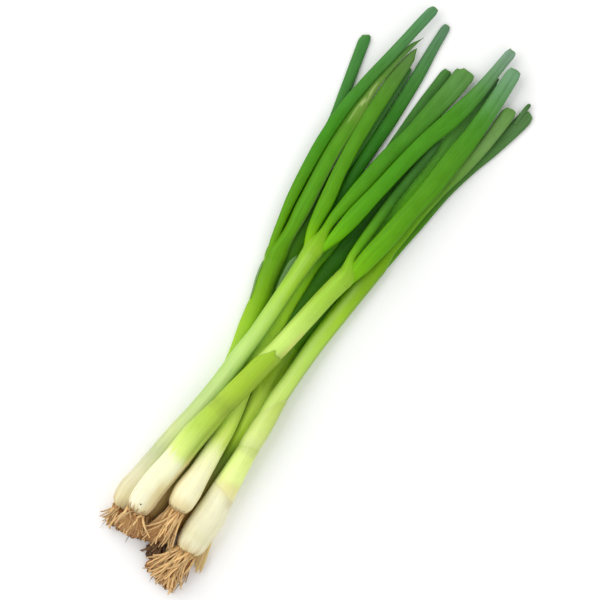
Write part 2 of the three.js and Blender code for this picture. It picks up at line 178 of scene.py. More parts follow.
def tint_and_light_masks(patches: Iterable[Patch], y: Array, angle: Array) -> Array:
    """Works out how strong each kind of local colour is: the dry tan, the painted shade, and the pale marks
    with painted highlights.

    Args:
        patches: The patches of one piece.
        y: Height of each point, in mm.
        angle: Angle of each point round its piece, in radians.

    Returns:
        One mask for each kind, along the last axis.
    """
    masks = np.zeros(y.shape + (len(Stain),))
    for patch in patches:
        low, high = patch.y
        lengthwise = smooth_step(low - patch.soft, low + 0.01, y)
        lengthwise = lengthwise * (1 - smooth_step(high, high + patch.soft, y))
        turn = np.abs((np.degrees(angle) - patch.angle + 180) % 360 - 180)
        mask = patch.strength * lengthwise * (1 - smooth_step(patch.spread * PATCH_CORE, patch.spread, turn))
        channel = patch.stain.value
        masks[..., channel] = np.maximum(masks[..., channel], mask)
    return masks


def rim_marks(like: Array, rings: int, rim: float, beside: float = 0.0) -> tuple[Array, Array]:
    """Marks the inner wall and the rim of an open tube, whose inner wall ends in three rings.

    Args:
        like: Any array with a value for each point.
        rings: How many rings the outer wall has.
        rim: The mark of the rings on both sides of the rim.
        beside: The mark of the ring before them.

    Returns:
        The marks of the inner wall and of the rim.
    """
    inside, edge = np.zeros_like(like), np.zeros_like(like)
    inside[-3:] = 1
    edge[rings - 1 : rings + 1] = rim
    edge[rings - 2] = beside
    return inside, edge


class Route:
    """The middle line of a stem or a leaf, and its oval section at each height."""

    def __init__(self, rows: Sequence[Row], grow: float = 0.0) -> None:
        """Keeps the rows.

        Args:
            rows: The rows of the piece.
            grow: How much the section is widened all round, in mm.
        """
        self.table = np.array(rows, float)
        self.start, self.end = float(self.table[0, 0]), float(self.table[-1, 0])
        self.grow = grow

    def column(self, index: int, y: Array) -> Array:
        """Reads one column of the rows at y."""
        return smooth_values(self.table[:, 0], self.table[:, index], y)

    def surface(self, y: Array, angle: Array, inset: Union[float, Array] = 0.0) -> Array:
        """Places points on the skin, on rings that stand square to the route.

        Args:
            y: Height of each point, in mm.
            angle: Angle round the section, in radians.
            inset: How far each point lies inside the skin, in mm.

        Returns:
            The points, in mm, with x, y and z along the last axis.
        """
        y, angle = np.broadcast_arrays(np.asarray(y, float), np.asarray(angle, float))
        ahead, behind = np.minimum(y + 1, self.end), np.maximum(y - 1, self.start)
        aside, above = (self.column(index, ahead) - self.column(index, behind) for index in (1, 2))
        along = np.stack([aside, ahead - behind, above], axis=-1)
        along /= np.linalg.norm(along, axis=-1, keepdims=True)
        side = np.cross(along, [0.0, 0.0, 1.0])
        side /= np.linalg.norm(side, axis=-1, keepdims=True)
        up = np.cross(side, along)
        half_width = self.column(3, y) / 2 + self.grow - inset
        half_height = self.column(4, y) / 2 + self.grow - inset
        points = np.stack([self.column(1, y), y, self.column(2, y)], axis=-1)
        points = points + side * (np.cos(angle) * half_width)[..., None]
        points = points + up * (np.sin(angle) * half_height)[..., None]
        points[..., 2] = np.maximum(points[..., 2], 0.0)
        return points


class Relief:
    """Small seeded unevenness of a skin: soft dents and fine lengthwise ribs."""

    # Lengths over which the dents and the ribs wander (mm)
    DENT_LENGTHS = (17, 11, 7.3)
    RIB_LENGTHS = (23, 31)
    # How far the ribs sway, and how many more and how much lower the finer ones among them are
    SWAY = 0.8
    FINER_COUNT = 1.6
    FINER_HEIGHT = 0.6

    def __init__(self, seed: int, dents: float, ribs: float, rib_count: int) -> None:
        """Draws the phases; dents and ribs are heights in mm."""
        self.phases = np.random.default_rng(seed).uniform(0, 2 * np.pi, 8)
        self.dents, self.ribs, self.rib_count = dents, ribs, rib_count

    def inset(self, y: Array, angle: Array) -> Array:
        """Gives how far the skin lies inside its plain form, never below zero.

        Args:
            y: Height of each point, in mm.
            angle: Angle of each point, in radians.

        Returns:
            The depth at each point, in mm.
        """
        p = self.phases
        first, second, third = self.DENT_LENGTHS
        soft = np.sin(2 * angle + y / first + p[0]) + np.sin(3 * angle - y / second + p[1])
        soft = soft + np.sin(y / third + angle + p[2])
        first, second = self.RIB_LENGTHS
        fine = np.sin(self.rib_count * angle + self.SWAY * np.sin(y / first + p[3]) + p[4])
        finer = np.sin((self.rib_count * self.FINER_COUNT // 1) * angle + np.sin(y / second + p[5]) + p[6])
        fine = fine + self.FINER_HEIGHT * finer
        highest = 1 + self.FINER_HEIGHT
        return self.dents * (soft + 3) / 6 + self.ribs * (fine + highest) / (2 * highest)


class Skin:
    """Collects closed tubes into one mesh, with the attributes that the finishes read."""

    def __init__(self, low: float, high: float) -> None:
        """Starts with nothing in it.

        Args:
            low: The height (mm) at which the "zone" attribute is 0.
            high: The height at which it is 1.
        """
        self.low, self.high = low, high
        self.points: list[Array] = []
        self.coordinates: list[Array] = []
        self.zones: list[Array] = []
        self.tints_and_light: list[Array] = []
        self.faces: list[tuple[int, ...]] = []
        self.finish_indices: list[int] = []
        self.count = 0

    def add_tube(
        self, points: Array, y: Array, angle: Array, inside: Array, edge: Array, tints_and_light: Array,
        finish: int = 0,
    ) -> None:
        """Adds one tube that is closed at both ends.

        Args:
            points: Rings by sides by 3, in mm.
            y: The height of each point, in mm.
            angle: The angle of each point, in radians.
            inside: 1 where the point is on an inner wall, else 0.
            edge: 1 where the point is on a cut or torn rim, else 0.
            tints_and_light: The masks of the dry tan, the painted shade, and the pale marks with painted
                highlights.
            finish: Which of the object's materials the tube takes.
        """
        rings, sides = points.shape[:2]
        coordinate = np.stack([np.cos(angle) * VEIN_ROUND, np.sin(angle) * VEIN_ROUND, y], axis=-1)
        zone = np.stack([(y - self.low) / (self.high - self.low), inside, edge], axis=-1)
        for store, values in (
            (self.points, points),
            (self.coordinates, coordinate),
            (self.zones, zone),
            (self.tints_and_light, tints_and_light),
        ):
            store.append(values.reshape(-1, 3))
            store.append(np.stack([values[0].mean(axis=0), values[-1].mean(axis=0)]))
        before = len(self.faces)
        grid = np.arange(rings * sides).reshape(rings, sides) + self.count
        turned = np.roll(grid, -1, axis=1)
        quads = np.stack([grid[:-1], grid[1:], turned[1:], turned[:-1]], axis=-1).reshape(-1, 4)
        self.faces.extend(map(tuple, quads.tolist()))
        first, last = self.count + rings * sides, self.count + rings * sides + 1
        self.faces.extend((first, int(a), int(b)) for a, b in zip(grid[0], turned[0]))
        self.faces.extend((last, int(b), int(a)) for a, b in zip(grid[-1], turned[-1]))
        self.finish_indices.extend([finish] * (len(self.faces) - before))
        self.count += rings * sides + 2

    def to_object(self, name: str, materials: Sequence[bpy.types.Material]) -> bpy.types.Object:
        """Makes the mesh object.

        Args:
            name: The name of the piece.
            materials: Its materials, in the order of the tubes' finish numbers.

        Returns:
            The new object, at the origin.
        """
        mesh = bpy.data.meshes.new(name)
        mesh.from_pydata(((np.concatenate(self.points) - MIDDLE) * MILLIMETRE).tolist(), [], self.faces)
        for attribute, values in (("skin", self.coordinates), ("zone", self.zones), ("stain", self.tints_and_light)):
            layer = mesh.attributes.new(attribute, "FLOAT_VECTOR", "POINT")
            layer.data.foreach_set("vector", np.concatenate(values).astype(np.float32).ravel())
        for material in materials:
            mesh.materials.append(material)
        mesh.polygons.foreach_set("material_index", self.finish_indices)
        mesh.shade_smooth()
        mesh.validate()
        piece = bpy.data.objects.new(name, mesh)
        bpy.context.scene.collection.objects.link(piece)
        return piece


def declare(piece: bpy.types.Object, slot: Slot, node: Optional[str] = None) -> None:
    """Puts a piece on the body, hides the CAD node that it replaces, and logs its slot.

    Args:
        piece: The finished piece.
        slot: Its material slot.
        node: The CAD node that it replaces, if there is one.
    """
    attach(piece, BODY)
    if node:
        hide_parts(node)
    LOG.info("%s: %d faces, slot %s", piece.name, len(piece.data.polygons), slot.value)


SocketValue = Union[float, Sequence[float], Socket]


class Graph:
    """Adds nodes to a node tree and joins them."""

    # Spacing of the nodes in the editor, and how many stand in a row
    COLUMN = 190
    LINE = 320
    IN_LINE = 12

    def __init__(self, tree: bpy.types.NodeTree) -> None:
        """Starts with the tree's nodes as they are."""
        self.tree = tree
        self.placed = 0

    def add(
        self, kind: str, inputs: Optional[Mapping[Union[str, int], SocketValue]] = None, **settings: object
    ) -> bpy.types.Node:
        """Adds a node.

        Args:
            kind: The node's type.
            inputs: A value or a socket for each named or numbered input.
            settings: Properties of the node itself.

        Returns:
            The new node.
        """
        node = self.tree.nodes.new(kind)
        line, place = divmod(self.placed, self.IN_LINE)
        node.location = (place * self.COLUMN, -line * self.LINE)
        self.placed += 1
        for key, value in settings.items():
            setattr(node, key, value)
        for key, value in (inputs or {}).items():
            self.feed(node.inputs[key], value)
        return node

    def feed(self, socket: Socket, value: SocketValue) -> None:
        """Joins a socket to another one, or sets its value.

        Args:
            socket: The input socket.
            value: An output socket, or a plain value.
        """
        if isinstance(value, Socket):
            self.tree.links.new(value, socket)
        else:
            socket.default_value = value

    def math(self, operation: str, first: SocketValue, second: SocketValue = 0.0) -> Socket:
        """Adds a Math node and returns its value."""
        return self.add("ShaderNodeMath", {0: first, 1: second}, operation=operation).outputs[0]

    def vector_math(self, operation: str, first: SocketValue, second: SocketValue) -> Socket:
        """Adds a Vector Math node and returns its vector."""
        return self.add("ShaderNodeVectorMath", {0: first, 1: second}, operation=operation).outputs[0]

    def rescale(
        self, value: SocketValue, low: float, high: float, to_low: float = 0.0, to_high: float = 1.0
    ) -> Socket:
        """Maps a value from one span to another, clamped."""
        limits = {1: low, 2: high, 3: to_low, 4: to_high}
        return self.add("ShaderNodeMapRange", {0: value, **limits}, clamp=True).outputs[0]

    def mix(self, factor: SocketValue, first: SocketValue, second: SocketValue) -> Socket:
        """Mixes two colours and returns the result."""
        inputs = {0: factor, 6: first, 7: second}
        return self.add("ShaderNodeMix", inputs, data_type="RGBA").outputs[2]

    def noise(self, vector: SocketValue, scale: float, detail: float = 2.0) -> Socket:
        """Adds a Noise Texture and returns its value."""
        inputs = {"Vector": vector, "Scale": scale, "Detail": detail}
        return self.add("ShaderNodeTexNoise", inputs).outputs[0]

    def attribute(self, name: str) -> Socket:
        """Reads a vector attribute of the mesh."""
        return self.add("ShaderNodeAttribute", attribute_name=name).outputs["Vector"]

    def group(self, tree: bpy.types.NodeTree, inputs: Mapping[str, SocketValue]) -> bpy.types.Node:
        """Adds a node group.

        Args:
            tree: The group's tree.
            inputs: A value or a socket for each of its inputs.

        Returns:
            The new node.
        """
        node = self.add("ShaderNodeGroup")
        node.node_tree = tree
        for key, value in inputs.items():
            self.feed(node.inputs[key], value)
        return node


def linear(colour: Colour) -> tuple[float, float, float, float]:
    """Turns an sRGB colour into a linear one.

    Args:
        colour: Red, green and blue, from 0 to 255.

    Returns:
        Linear red, green and blue from 0 to 1, and a full alpha.
    """
    shares = [channel / 255 for channel in colour]
    values = [s / 12.92 if s <= 0.04045 else ((s + 0.055) / 1.055) ** 2.4 for s in shares]
    return values[0], values[1], values[2], 1.0


def new_group(
    name: str, inputs: Mapping[str, str], outputs: Mapping[str, str]
) -> tuple[Graph, dict[str, Socket], bpy.types.Node]:
    """Makes an empty shader node group.

    Args:
        name: The group's name.
        inputs: The kind of socket for each input name.
        outputs: The kind of socket for each output name.

    Returns:
        The graph of the new tree, its input sockets by name and its output node.
    """
    tree = bpy.data.node_groups.new(name, "ShaderNodeTree")
    for direction, sockets in (("INPUT", inputs), ("OUTPUT", outputs)):
        for socket, kind in sockets.items():
            tree.interface.new_socket(socket, in_out=direction, socket_type=f"NodeSocket{kind}")
    graph = Graph(tree)
    entry = graph.add("NodeGroupInput")
    return graph, {socket.name: socket for socket in entry.outputs}, graph.add("NodeGroupOutput")


class PlantGroups:
    """The shader node groups that the plant's materials share."""

    # How fast each pattern changes across a piece, across it and along it (1/mm)
    FINE_VEINS = (2.6, 2.6, 0.035)
    BROAD_VEINS = (0.55, 0.55, 0.014)
    MOTTLES = (1.0, 1.0, 0.45)
    MOTTLE_SCALE = 0.22
    SPECK_SCALE = 2.4
    SPECK_SPAN = (0.7, 0.76)
    # A patch's strength where the broad veins are weakest, and how much they add to it
    PATCH_LEAST = 0.55
    PATCH_BREAK = 0.9

    def __init__(self) -> None:
        """Builds the three groups."""
        self.veins = self.build_veins()
        self.tints_and_light = self.build_tints_and_light()
        self.mottling = self.build_mottling()

    def build_veins(self) -> bpy.types.NodeTree:
        """Builds the lengthwise veins: fine threads and broad streaks, from the "skin" attribute.

        Returns:
            The group's tree.
        """
        outputs = {"Fine": "Float", "Broad": "Float"}
        graph, entry, exit_node = new_group("lengthwise_veins", {"Skin": "Vector"}, outputs)
        fine = graph.noise(graph.vector_math("MULTIPLY", entry["Skin"], self.FINE_VEINS), 1.0, 3.0)
        broad = graph.noise(graph.vector_math("MULTIPLY", entry["Skin"], self.BROAD_VEINS), 1.0, 2.0)
        graph.feed(exit_node.inputs["Fine"], graph.rescale(fine, *NOISE_SPAN))
        graph.feed(exit_node.inputs["Broad"], graph.rescale(broad, *NOISE_SPAN))
        return graph.tree

    def build_tints_and_light(self) -> bpy.types.NodeTree:
        """Builds the local colours, laid over a base colour with edges that follow the veins: dry tan,
        painted shade, and pale marks with painted highlights.

        Returns:
            The group's tree.
        """
        graph, entry, exit_node = new_group(
            "local_colours",
            {
                **{"Base": "Color", "Stain": "Vector", "Break": "Float"},
                **{"Warm": "Color", "Dark": "Color", "Pale": "Color"},
            },
            {"Colour": "Color"},
        )
        masks = graph.add("ShaderNodeSeparateXYZ", {0: entry["Stain"]}).outputs
        loose = graph.math("MULTIPLY_ADD", entry["Break"], self.PATCH_BREAK)
        loose.node.inputs[2].default_value = self.PATCH_LEAST
        colour = entry["Base"]
        # Painted shade first, then the dry tan, then the pale marks and painted highlights
        for stain in (DARK, WARM, PALE):
            share = graph.math("MINIMUM", graph.math("MULTIPLY", masks[stain.value], loose), 1.0)
            colour = graph.mix(share, colour, entry[stain.name.title()])
        graph.feed(exit_node.inputs["Colour"], colour)
        return graph.tree

    def build_mottling(self) -> bpy.types.NodeTree:
        """Builds an uneven tone and a scatter of tiny specks, from the "skin" attribute.

        Returns:
            The group's tree.
        """
        outputs = {"Tone": "Float", "Specks": "Float"}
        graph, entry, exit_node = new_group("mottling", {"Skin": "Vector"}, outputs)
        stretched = graph.vector_math("MULTIPLY", entry["Skin"], self.MOTTLES)
        tone = graph.noise(stretched, self.MOTTLE_SCALE, 3.0)
        specks = graph.noise(entry["Skin"], self.SPECK_SCALE, 1.0)
        graph.feed(exit_node.inputs["Tone"], graph.rescale(tone, *NOISE_SPAN))
        graph.feed(exit_node.inputs["Specks"], graph.rescale(specks, *self.SPECK_SPAN))
        return graph.tree


def new_material(name: str) -> tuple[bpy.types.Material, Graph, bpy.types.Node]:
    """Makes a material with a Principled shader.

    Args:
        name: The material's name.

    Returns:
        The material, its graph and its shader node.
    """
    material = bpy.data.materials.new(name)
    material.use_nodes = True
    material.node_tree.nodes.clear()
    graph = Graph(material.node_tree)
    shader = graph.add("ShaderNodeBsdfPrincipled")
    graph.add("ShaderNodeOutputMaterial", {"Surface": shader.outputs[0]})
    return material, graph, shader


def add_ramp(graph: Graph, factor: SocketValue, stops: Sequence[Stop]) -> Socket:
    """Adds a colour ramp.

    Args:
        graph: The graph that it goes in.
        factor: The place on the ramp, from 0 to 1.
        stops: The place and the sRGB colour of each stop, in rising order.

    Returns:
        The ramp's colour.
    """
    node = graph.add("ShaderNodeValToRGB", {0: factor})
    elements = node.color_ramp.elements
    while len(elements) < len(stops):
        elements.new(0.5)
    for element, (place, colour) in zip(elements, stops):
        element.position = place
        element.color = linear(colour)
    return node.outputs[0]


@dataclass(frozen=True)
class PlantFinish:
    """The look of one stem, sheath or leaf: colours along its length, veins, local colours with painted shade
    and highlights, and wax.
    """

    name: str
    stops: tuple[Stop, ...]
    # Colours of the dry tan, of the painted shade, and of the pale marks and painted highlights
    warm: Colour = (214, 190, 120)
    dark: Colour = (110, 150, 40)
    pale: Colour = (240, 250, 200)
    inside: Colour = (150, 176, 84)
    rim: Colour = (196, 206, 140)
    bloom: Colour = (150, 178, 150)
    bloom_amount: float = 0.0
    fade: float = 0.008
    vein_contrast: float = 0.17
    roughness: float = 0.36
    gloss: float = 0.16
    tone: float = 0.94
    saturation: float = 1.04
    vein_bump: float = 0.25
    glow: float = 0.2
    glow_depth: float = 0.003

    def material(self, groups: PlantGroups, low: float, high: float) -> bpy.types.Material:
        """Builds the material.

        Args:
            groups: The shared node groups.
            low: The height (mm) at which the piece's "zone" attribute is 0.
            high: The height at which it is 1.

        Returns:
            The material.
        """
        material, graph, shader = new_material(self.name)
        skin = graph.attribute("skin")
        zone = graph.add("ShaderNodeSeparateXYZ", {0: graph.attribute("zone")}).outputs
        veins = graph.group(groups.veins, {"Skin": skin}).outputs
        mottling = graph.group(groups.mottling, {"Skin": skin}).outputs
        span = self.fade * 2
        limits = {1: 0.0, 2: 1.0, 3: -span, 4: span}
        shift = graph.add("ShaderNodeMapRange", {0: veins["Broad"], **limits})
        place = graph.math("ADD", zone[0], shift.outputs[0])
        stops = [((y - low) / (high - low), colour) for y, colour in self.stops]
        colour = add_ramp(graph, place, stops)
        weave = graph.math("ADD", veins["Fine"], graph.math("MULTIPLY", mottling["Tone"], MOTTLE_IN_TONE))
        weave = graph.math("ADD", weave, veins["Broad"])
        darkest = self.tone * (1 - self.vein_contrast)
        lightest = self.tone * (1 + self.vein_contrast * 0.6)
        value = graph.rescale(weave, 0.0, 2 + MOTTLE_IN_TONE, darkest, lightest)
        richer = {"Saturation": self.saturation, "Value": value, "Color": colour}
        colour = graph.add("ShaderNodeHueSaturation", richer).outputs[0]
        if self.bloom_amount:
            upper = graph.rescale(zone[0], 0.15, 0.9)
            wax = graph.math("MULTIPLY", graph.rescale(mottling["Tone"], 0.1, 0.9, 0.35, 1.0), upper)
            wax = graph.math("MULTIPLY", wax, self.bloom_amount)
            colour = graph.mix(wax, colour, linear(self.bloom))
        # The dry tan, the painted shade, and the pale marks with painted highlights go on here
        colour = graph.group(
            groups.tints_and_light,
            {
                "Base": colour,
                "Stain": graph.attribute("stain"),
                "Break": veins["Broad"],
                "Warm": linear(self.warm),
                "Dark": linear(self.dark),
                "Pale": linear(self.pale),
            },
        ).outputs[0]
        specks = graph.math("MULTIPLY", mottling["Specks"], SPECK_STRENGTH)
        colour = graph.mix(specks, colour, linear(self.rim))
        colour = graph.mix(zone[1], colour, linear(self.inside))
        colour = graph.mix(zone[2], colour, linear(self.rim))
        roughness = graph.rescale(mottling["Tone"], 0.0, 1.0, self.roughness - 0.05, self.roughness + 0.1)
        height = graph.math("ADD", veins["Fine"], graph.math("MULTIPLY", mottling["Tone"], MOTTLE_IN_BUMP))
        relief = {"Height": height, "Strength": self.vein_bump, "Distance": BUMP_DEPTH}
        bump = graph.add("ShaderNodeBump", relief)
        graph.feed(shader.inputs["Base Color"], colour)
        graph.feed(shader.inputs["Roughness"], roughness)
        graph.feed(shader.inputs["Normal"], bump.outputs[0])
        shader.inputs["Specular IOR Level"].default_value = self.gloss
        shader.inputs["Subsurface Weight"].default_value = self.glow
        shader.inputs["Subsurface Radius"].default_value = GLOW_SPREAD
        shader.inputs["Subsurface Scale"].default_value = self.glow_depth
        return material


@dataclass(frozen=True)
class RootFinish:
    """The look of roots or of a root plate: its colour changes out along the root, with soil on it."""

    name: str
    base: Colour
    middle: Colour
    tip: Colour
    soil: Colour = (70, 46, 28)
    roughness: float = 0.75
    # Sizes of the grain and of the spots of soil (1/m)
    grain_scale: float = 900.0
    soil_scale: float = 260.0

    def material(self) -> bpy.types.Material:
        """Builds the material, which reads the "along" and "shade" attributes.

        Returns:
            The material.
        """
        material, graph, shader = new_material(self.name)
        along = graph.add("ShaderNodeAttribute", attribute_name="along").outputs["Fac"]
        shade = graph.add("ShaderNodeAttribute", attribute_name="shade").outputs["Fac"]
        where = graph.add("ShaderNodeTexCoord").outputs["Object"]
        grain = graph.noise(where, self.grain_scale, 3.0)
        place = graph.math("ADD", along, graph.rescale(grain, *NOISE_SPAN, -0.12, 0.12))
        colour = add_ramp(graph, place, [(0.0, self.base), (0.3, self.middle), (1.0, self.tip)])
        # Darker where the "shade" value is low: a random tone for each strand, and painted shade in the
        # grooves of the bundles
        value = graph.rescale(shade, 0.0, 1.0, 0.62, 1.25)
        colour = graph.add("ShaderNodeHueSaturation", {"Value": value, "Color": colour}).outputs[0]
        dirt = graph.rescale(graph.noise(where, self.soil_scale, 4.0), 0.58, 0.74, 0.0, 0.4)
        colour = graph.mix(dirt, colour, linear(self.soil))
        bump = graph.add("ShaderNodeBump", {"Height": grain, "Strength": 0.5, "Distance": BUMP_DEPTH})
        roughness = graph.rescale(grain, *NOISE_SPAN, self.roughness - 0.1, 0.9)
        graph.feed(shader.inputs["Base Color"], colour)
        graph.feed(shader.inputs["Roughness"], roughness)
        graph.feed(shader.inputs["Normal"], bump.outputs[0])
        shader.inputs["Subsurface Weight"].default_value = 0.1
        shader.inputs["Subsurface Scale"].default_value = 0.001
        return material


@dataclass(frozen=True)
class Sleeve:
    """An outer layer of a stem, whose upper edge runs round it as a slanting lip."""

    # Length of the last stretch before the lip, and depths below it of the rings behind it (mm)
    LIP_RING = 0.12
    LIP_DEPTHS = (0.15, 1.2, 3.0)
    # How deep its lower end lies in the stem (mm), and the share of its length that comes out of it
    SUNK = 0.15
    RISEN = 0.45

    start: float
    lip: Lip
    thickness: float
    finish: PlantFinish
    patches: tuple[Patch, ...] = ()
    ragged: float = 0.12
    # How much of its thickness is gone at the lip (mm)
    thinned: float = 0.0


@dataclass
class Stem:
    """One bulb and stem, from its root plate to the mouth that its leaves come out of."""

    # How many fine ribs it has
    RIB_COUNT = 26
    # The close rings where the end of the bulb rounds off (mm from its end)
    END_RINGS = (0, 0.4, 0.9, 1.5, 2.2, 3.0, 4.0, 5.2, 6.5, 8.0)
    # Lengths over which the bulb's end and the mouth round off, and how far the mouth draws in (mm)
    BULB_ROUND = 4
    MOUTH_ROUND = 3
    MOUTH_DRAW = 0.3
    # How much thicker the wall gets on the rings behind the mouth (mm)
    WALL_GROWTH = (0, 0.2, 0.6, 0.8)

    name: str
    rows: tuple[Row, ...]
    finish: PlantFinish
    seed: int
    sleeves: tuple[Sleeve, ...] = ()
    patches: tuple[Patch, ...] = ()
    # Where the stem's own skin ends, inside the base of the leaf that carries on from it
    top: float = 0.0
    wall: float = 0.6
    mouth_depth: float = 5.0
    dents: float = 0.14
    ribs: float = 0.05

    def add_body(self, skin: Skin) -> None:
        """Adds the stem itself, with a thin rim round its mouth and an inner wall behind it.

        Args:
            skin: The skin that it goes in.
        """
        route = Route(self.rows)
        relief = Relief(self.seed, self.dents, self.ribs, self.RIB_COUNT)
        angles = ring_angles(STEM_SIDES)
        ends = self.rows[0][0] + np.array(self.END_RINGS)
        steps = int((self.top - ends[-1]) / STRETCH)
        heights = np.concatenate([ends, np.linspace(ends[-1], self.top, steps + 1)[1:]])
        y, angle = np.meshgrid(heights, angles, indexing="ij")
        bulb = smooth_step(route.start, route.start + self.BULB_ROUND, y)
        near = smooth_step(self.top - self.MOUTH_ROUND, self.top, y)
        outer = route.surface(y, angle, relief.inset(y, angle) * bulb + self.MOUTH_DRAW * near)
        inner_y = y[-1:] - np.array([0.1, 1.5, self.mouth_depth / 2, self.mouth_depth])[:, None]
        inner_angle = np.repeat(angle[-1:], len(inner_y), axis=0)
        inner = route.surface(inner_y, inner_angle, self.wall + np.array(self.WALL_GROWTH)[:, None])
        all_y, all_angle = np.concatenate([y, inner_y]), np.concatenate([angle, inner_angle])
        inside, edge = rim_marks(all_y, len(y), 0.7)
        tints_and_light = tint_and_light_masks(self.patches, all_y, all_angle)
        skin.add_tube(np.concatenate([outer, inner]), all_y, all_angle, inside, edge, tints_and_light)

    def add_sleeve(self, skin: Skin, sleeve: Sleeve, finish: int) -> None:
        """Adds one outer layer.

        Args:
            skin: The skin that it goes in.
            sleeve: Its sizes.
            finish: The number of its material.
        """
        relief = Relief(self.seed, self.dents, self.ribs, self.RIB_COUNT)
        route = Route(self.rows, sleeve.thickness)
        angles = ring_angles(STEM_SIDES)
        jitter = np.random.default_rng(self.seed + finish).uniform(-1, 1, (3, STEM_SIDES))
        ragged = sleeve.ragged * (jitter[0] + np.sin(angles * 9 + jitter[1, 0] * 3) + np.sin(angles * 17))
        lip = lip_height(sleeve.lip, angles) + ragged
        reach = lip.max() - sleeve.start
        steps = int(reach / STRETCH)
        shares = np.insert(np.linspace(0, 1, steps + 1), steps, 1 - sleeve.LIP_RING / reach)[:, None]
        y = sleeve.start + (lip[None, :] - sleeve.start) * shares
        angle = np.repeat(angles[None, :], len(y), axis=0)
        sunk = (sleeve.thickness + sleeve.SUNK) * (1 - smooth_step(0.0, sleeve.RISEN, shares))
        sunk = sunk + sleeve.thinned * smooth_step(0.8, 1.0, shares)
        outer = route.surface(y, angle, relief.inset(y, angle) + sunk)
        inner_y = lip[None, :] - np.array(sleeve.LIP_DEPTHS)[:, None]
        inner_angle = np.repeat(angles[None, :], len(inner_y), axis=0)
        inset = np.array([0.25, sleeve.thickness + 0.1, sleeve.thickness + 0.6])[:, None]
        inner = route.surface(inner_y, inner_angle, inset)
        all_y, all_angle = np.concatenate([y, inner_y]), np.concatenate([angle, inner_angle])
        edge = rim_marks(all_y, len(y), 0.8, 0.6)[1]
        tints_and_light = tint_and_light_masks(sleeve.patches, all_y, all_angle)
        points = np.concatenate([outer, inner])
        skin.add_tube(points, all_y, all_angle, np.zeros_like(all_y), edge, tints_and_light, finish)

    def build(self, groups: PlantGroups) -> bpy.types.Object:
        """Args:
            groups: The shared node groups.

        Returns:
            The finished piece.
        """
        low, high = self.rows[0][0], self.rows[-1][0]
        skin = Skin(low, high)
        self.add_body(skin)
        materials = [self.finish.material(groups, low, high)]
        for number, sleeve in enumerate(self.sleeves, start=1):
            self.add_sleeve(skin, sleeve, number)
            materials.append(sleeve.finish.material(groups, low, high))
        piece = skin.to_object(f"onion_stem_{self.name}", materials)
        declare(piece, Slot.STEM, f"stem_{self.name}")
        return piece


# How far a leaf that carries on from its stem reaches down inside it, and the spacing of its rows (mm)
CARRIED_FOOT = 10
CARRIED_STEP = 3.0
# How far another leaf reaches down inside its stem (mm), and the share of its own section there
ROOTED_FOOT = 9.0
ROOTED_SHARE = 0.6


def carried_rows(stem: Sequence[Row], leaf: Sequence[Row], low: float, high: float) -> tuple[Row, ...]:
    """Gives the rows of a leaf that carries on from its stem without a step.

    Args:
        stem: The stem's rows.
        leaf: The leaf's rows.
        low: The height below which it has the stem's section.
        high: The height above which it has its own.

    Returns:
        The leaf's rows, from a little below low.
    """
    heights = np.arange(low - CARRIED_FOOT, high + 0.1, CARRIED_STEP)
    share = smooth_step(low, high, heights)
    below, above = Route(stem), Route(leaf)
    columns = []
    for index in range(1, 5):
        columns.append((1 - share) * below.column(index, heights) + share * above.column(index, heights))
    blended = [tuple(float(value) for value in row) for row in zip(heights, *columns)]
    return (*blended, *(row for row in leaf if row[0] > high + 2))


def rooted_rows(stem: Sequence[Row], leaf: Sequence[Row]) -> tuple[Row, ...]:
    """Gives the rows of a leaf that comes out of the side of its stem.

    Args:
        stem: The stem's rows.
        leaf: The leaf's rows.

    Returns:
        The leaf's rows, with one more row before them that lies inside the stem.
    """
    y, x, z, width, height = leaf[0]
    foot = y - ROOTED_FOOT
    middle = Route(stem)
    inner_x = (x + float(middle.column(1, np.array(foot)))) / 2
    inner_z = (z + float(middle.column(2, np.array(foot)))) / 2
    return ((foot, inner_x, inner_z, width * ROOTED_SHARE, height * ROOTED_SHARE), *leaf)


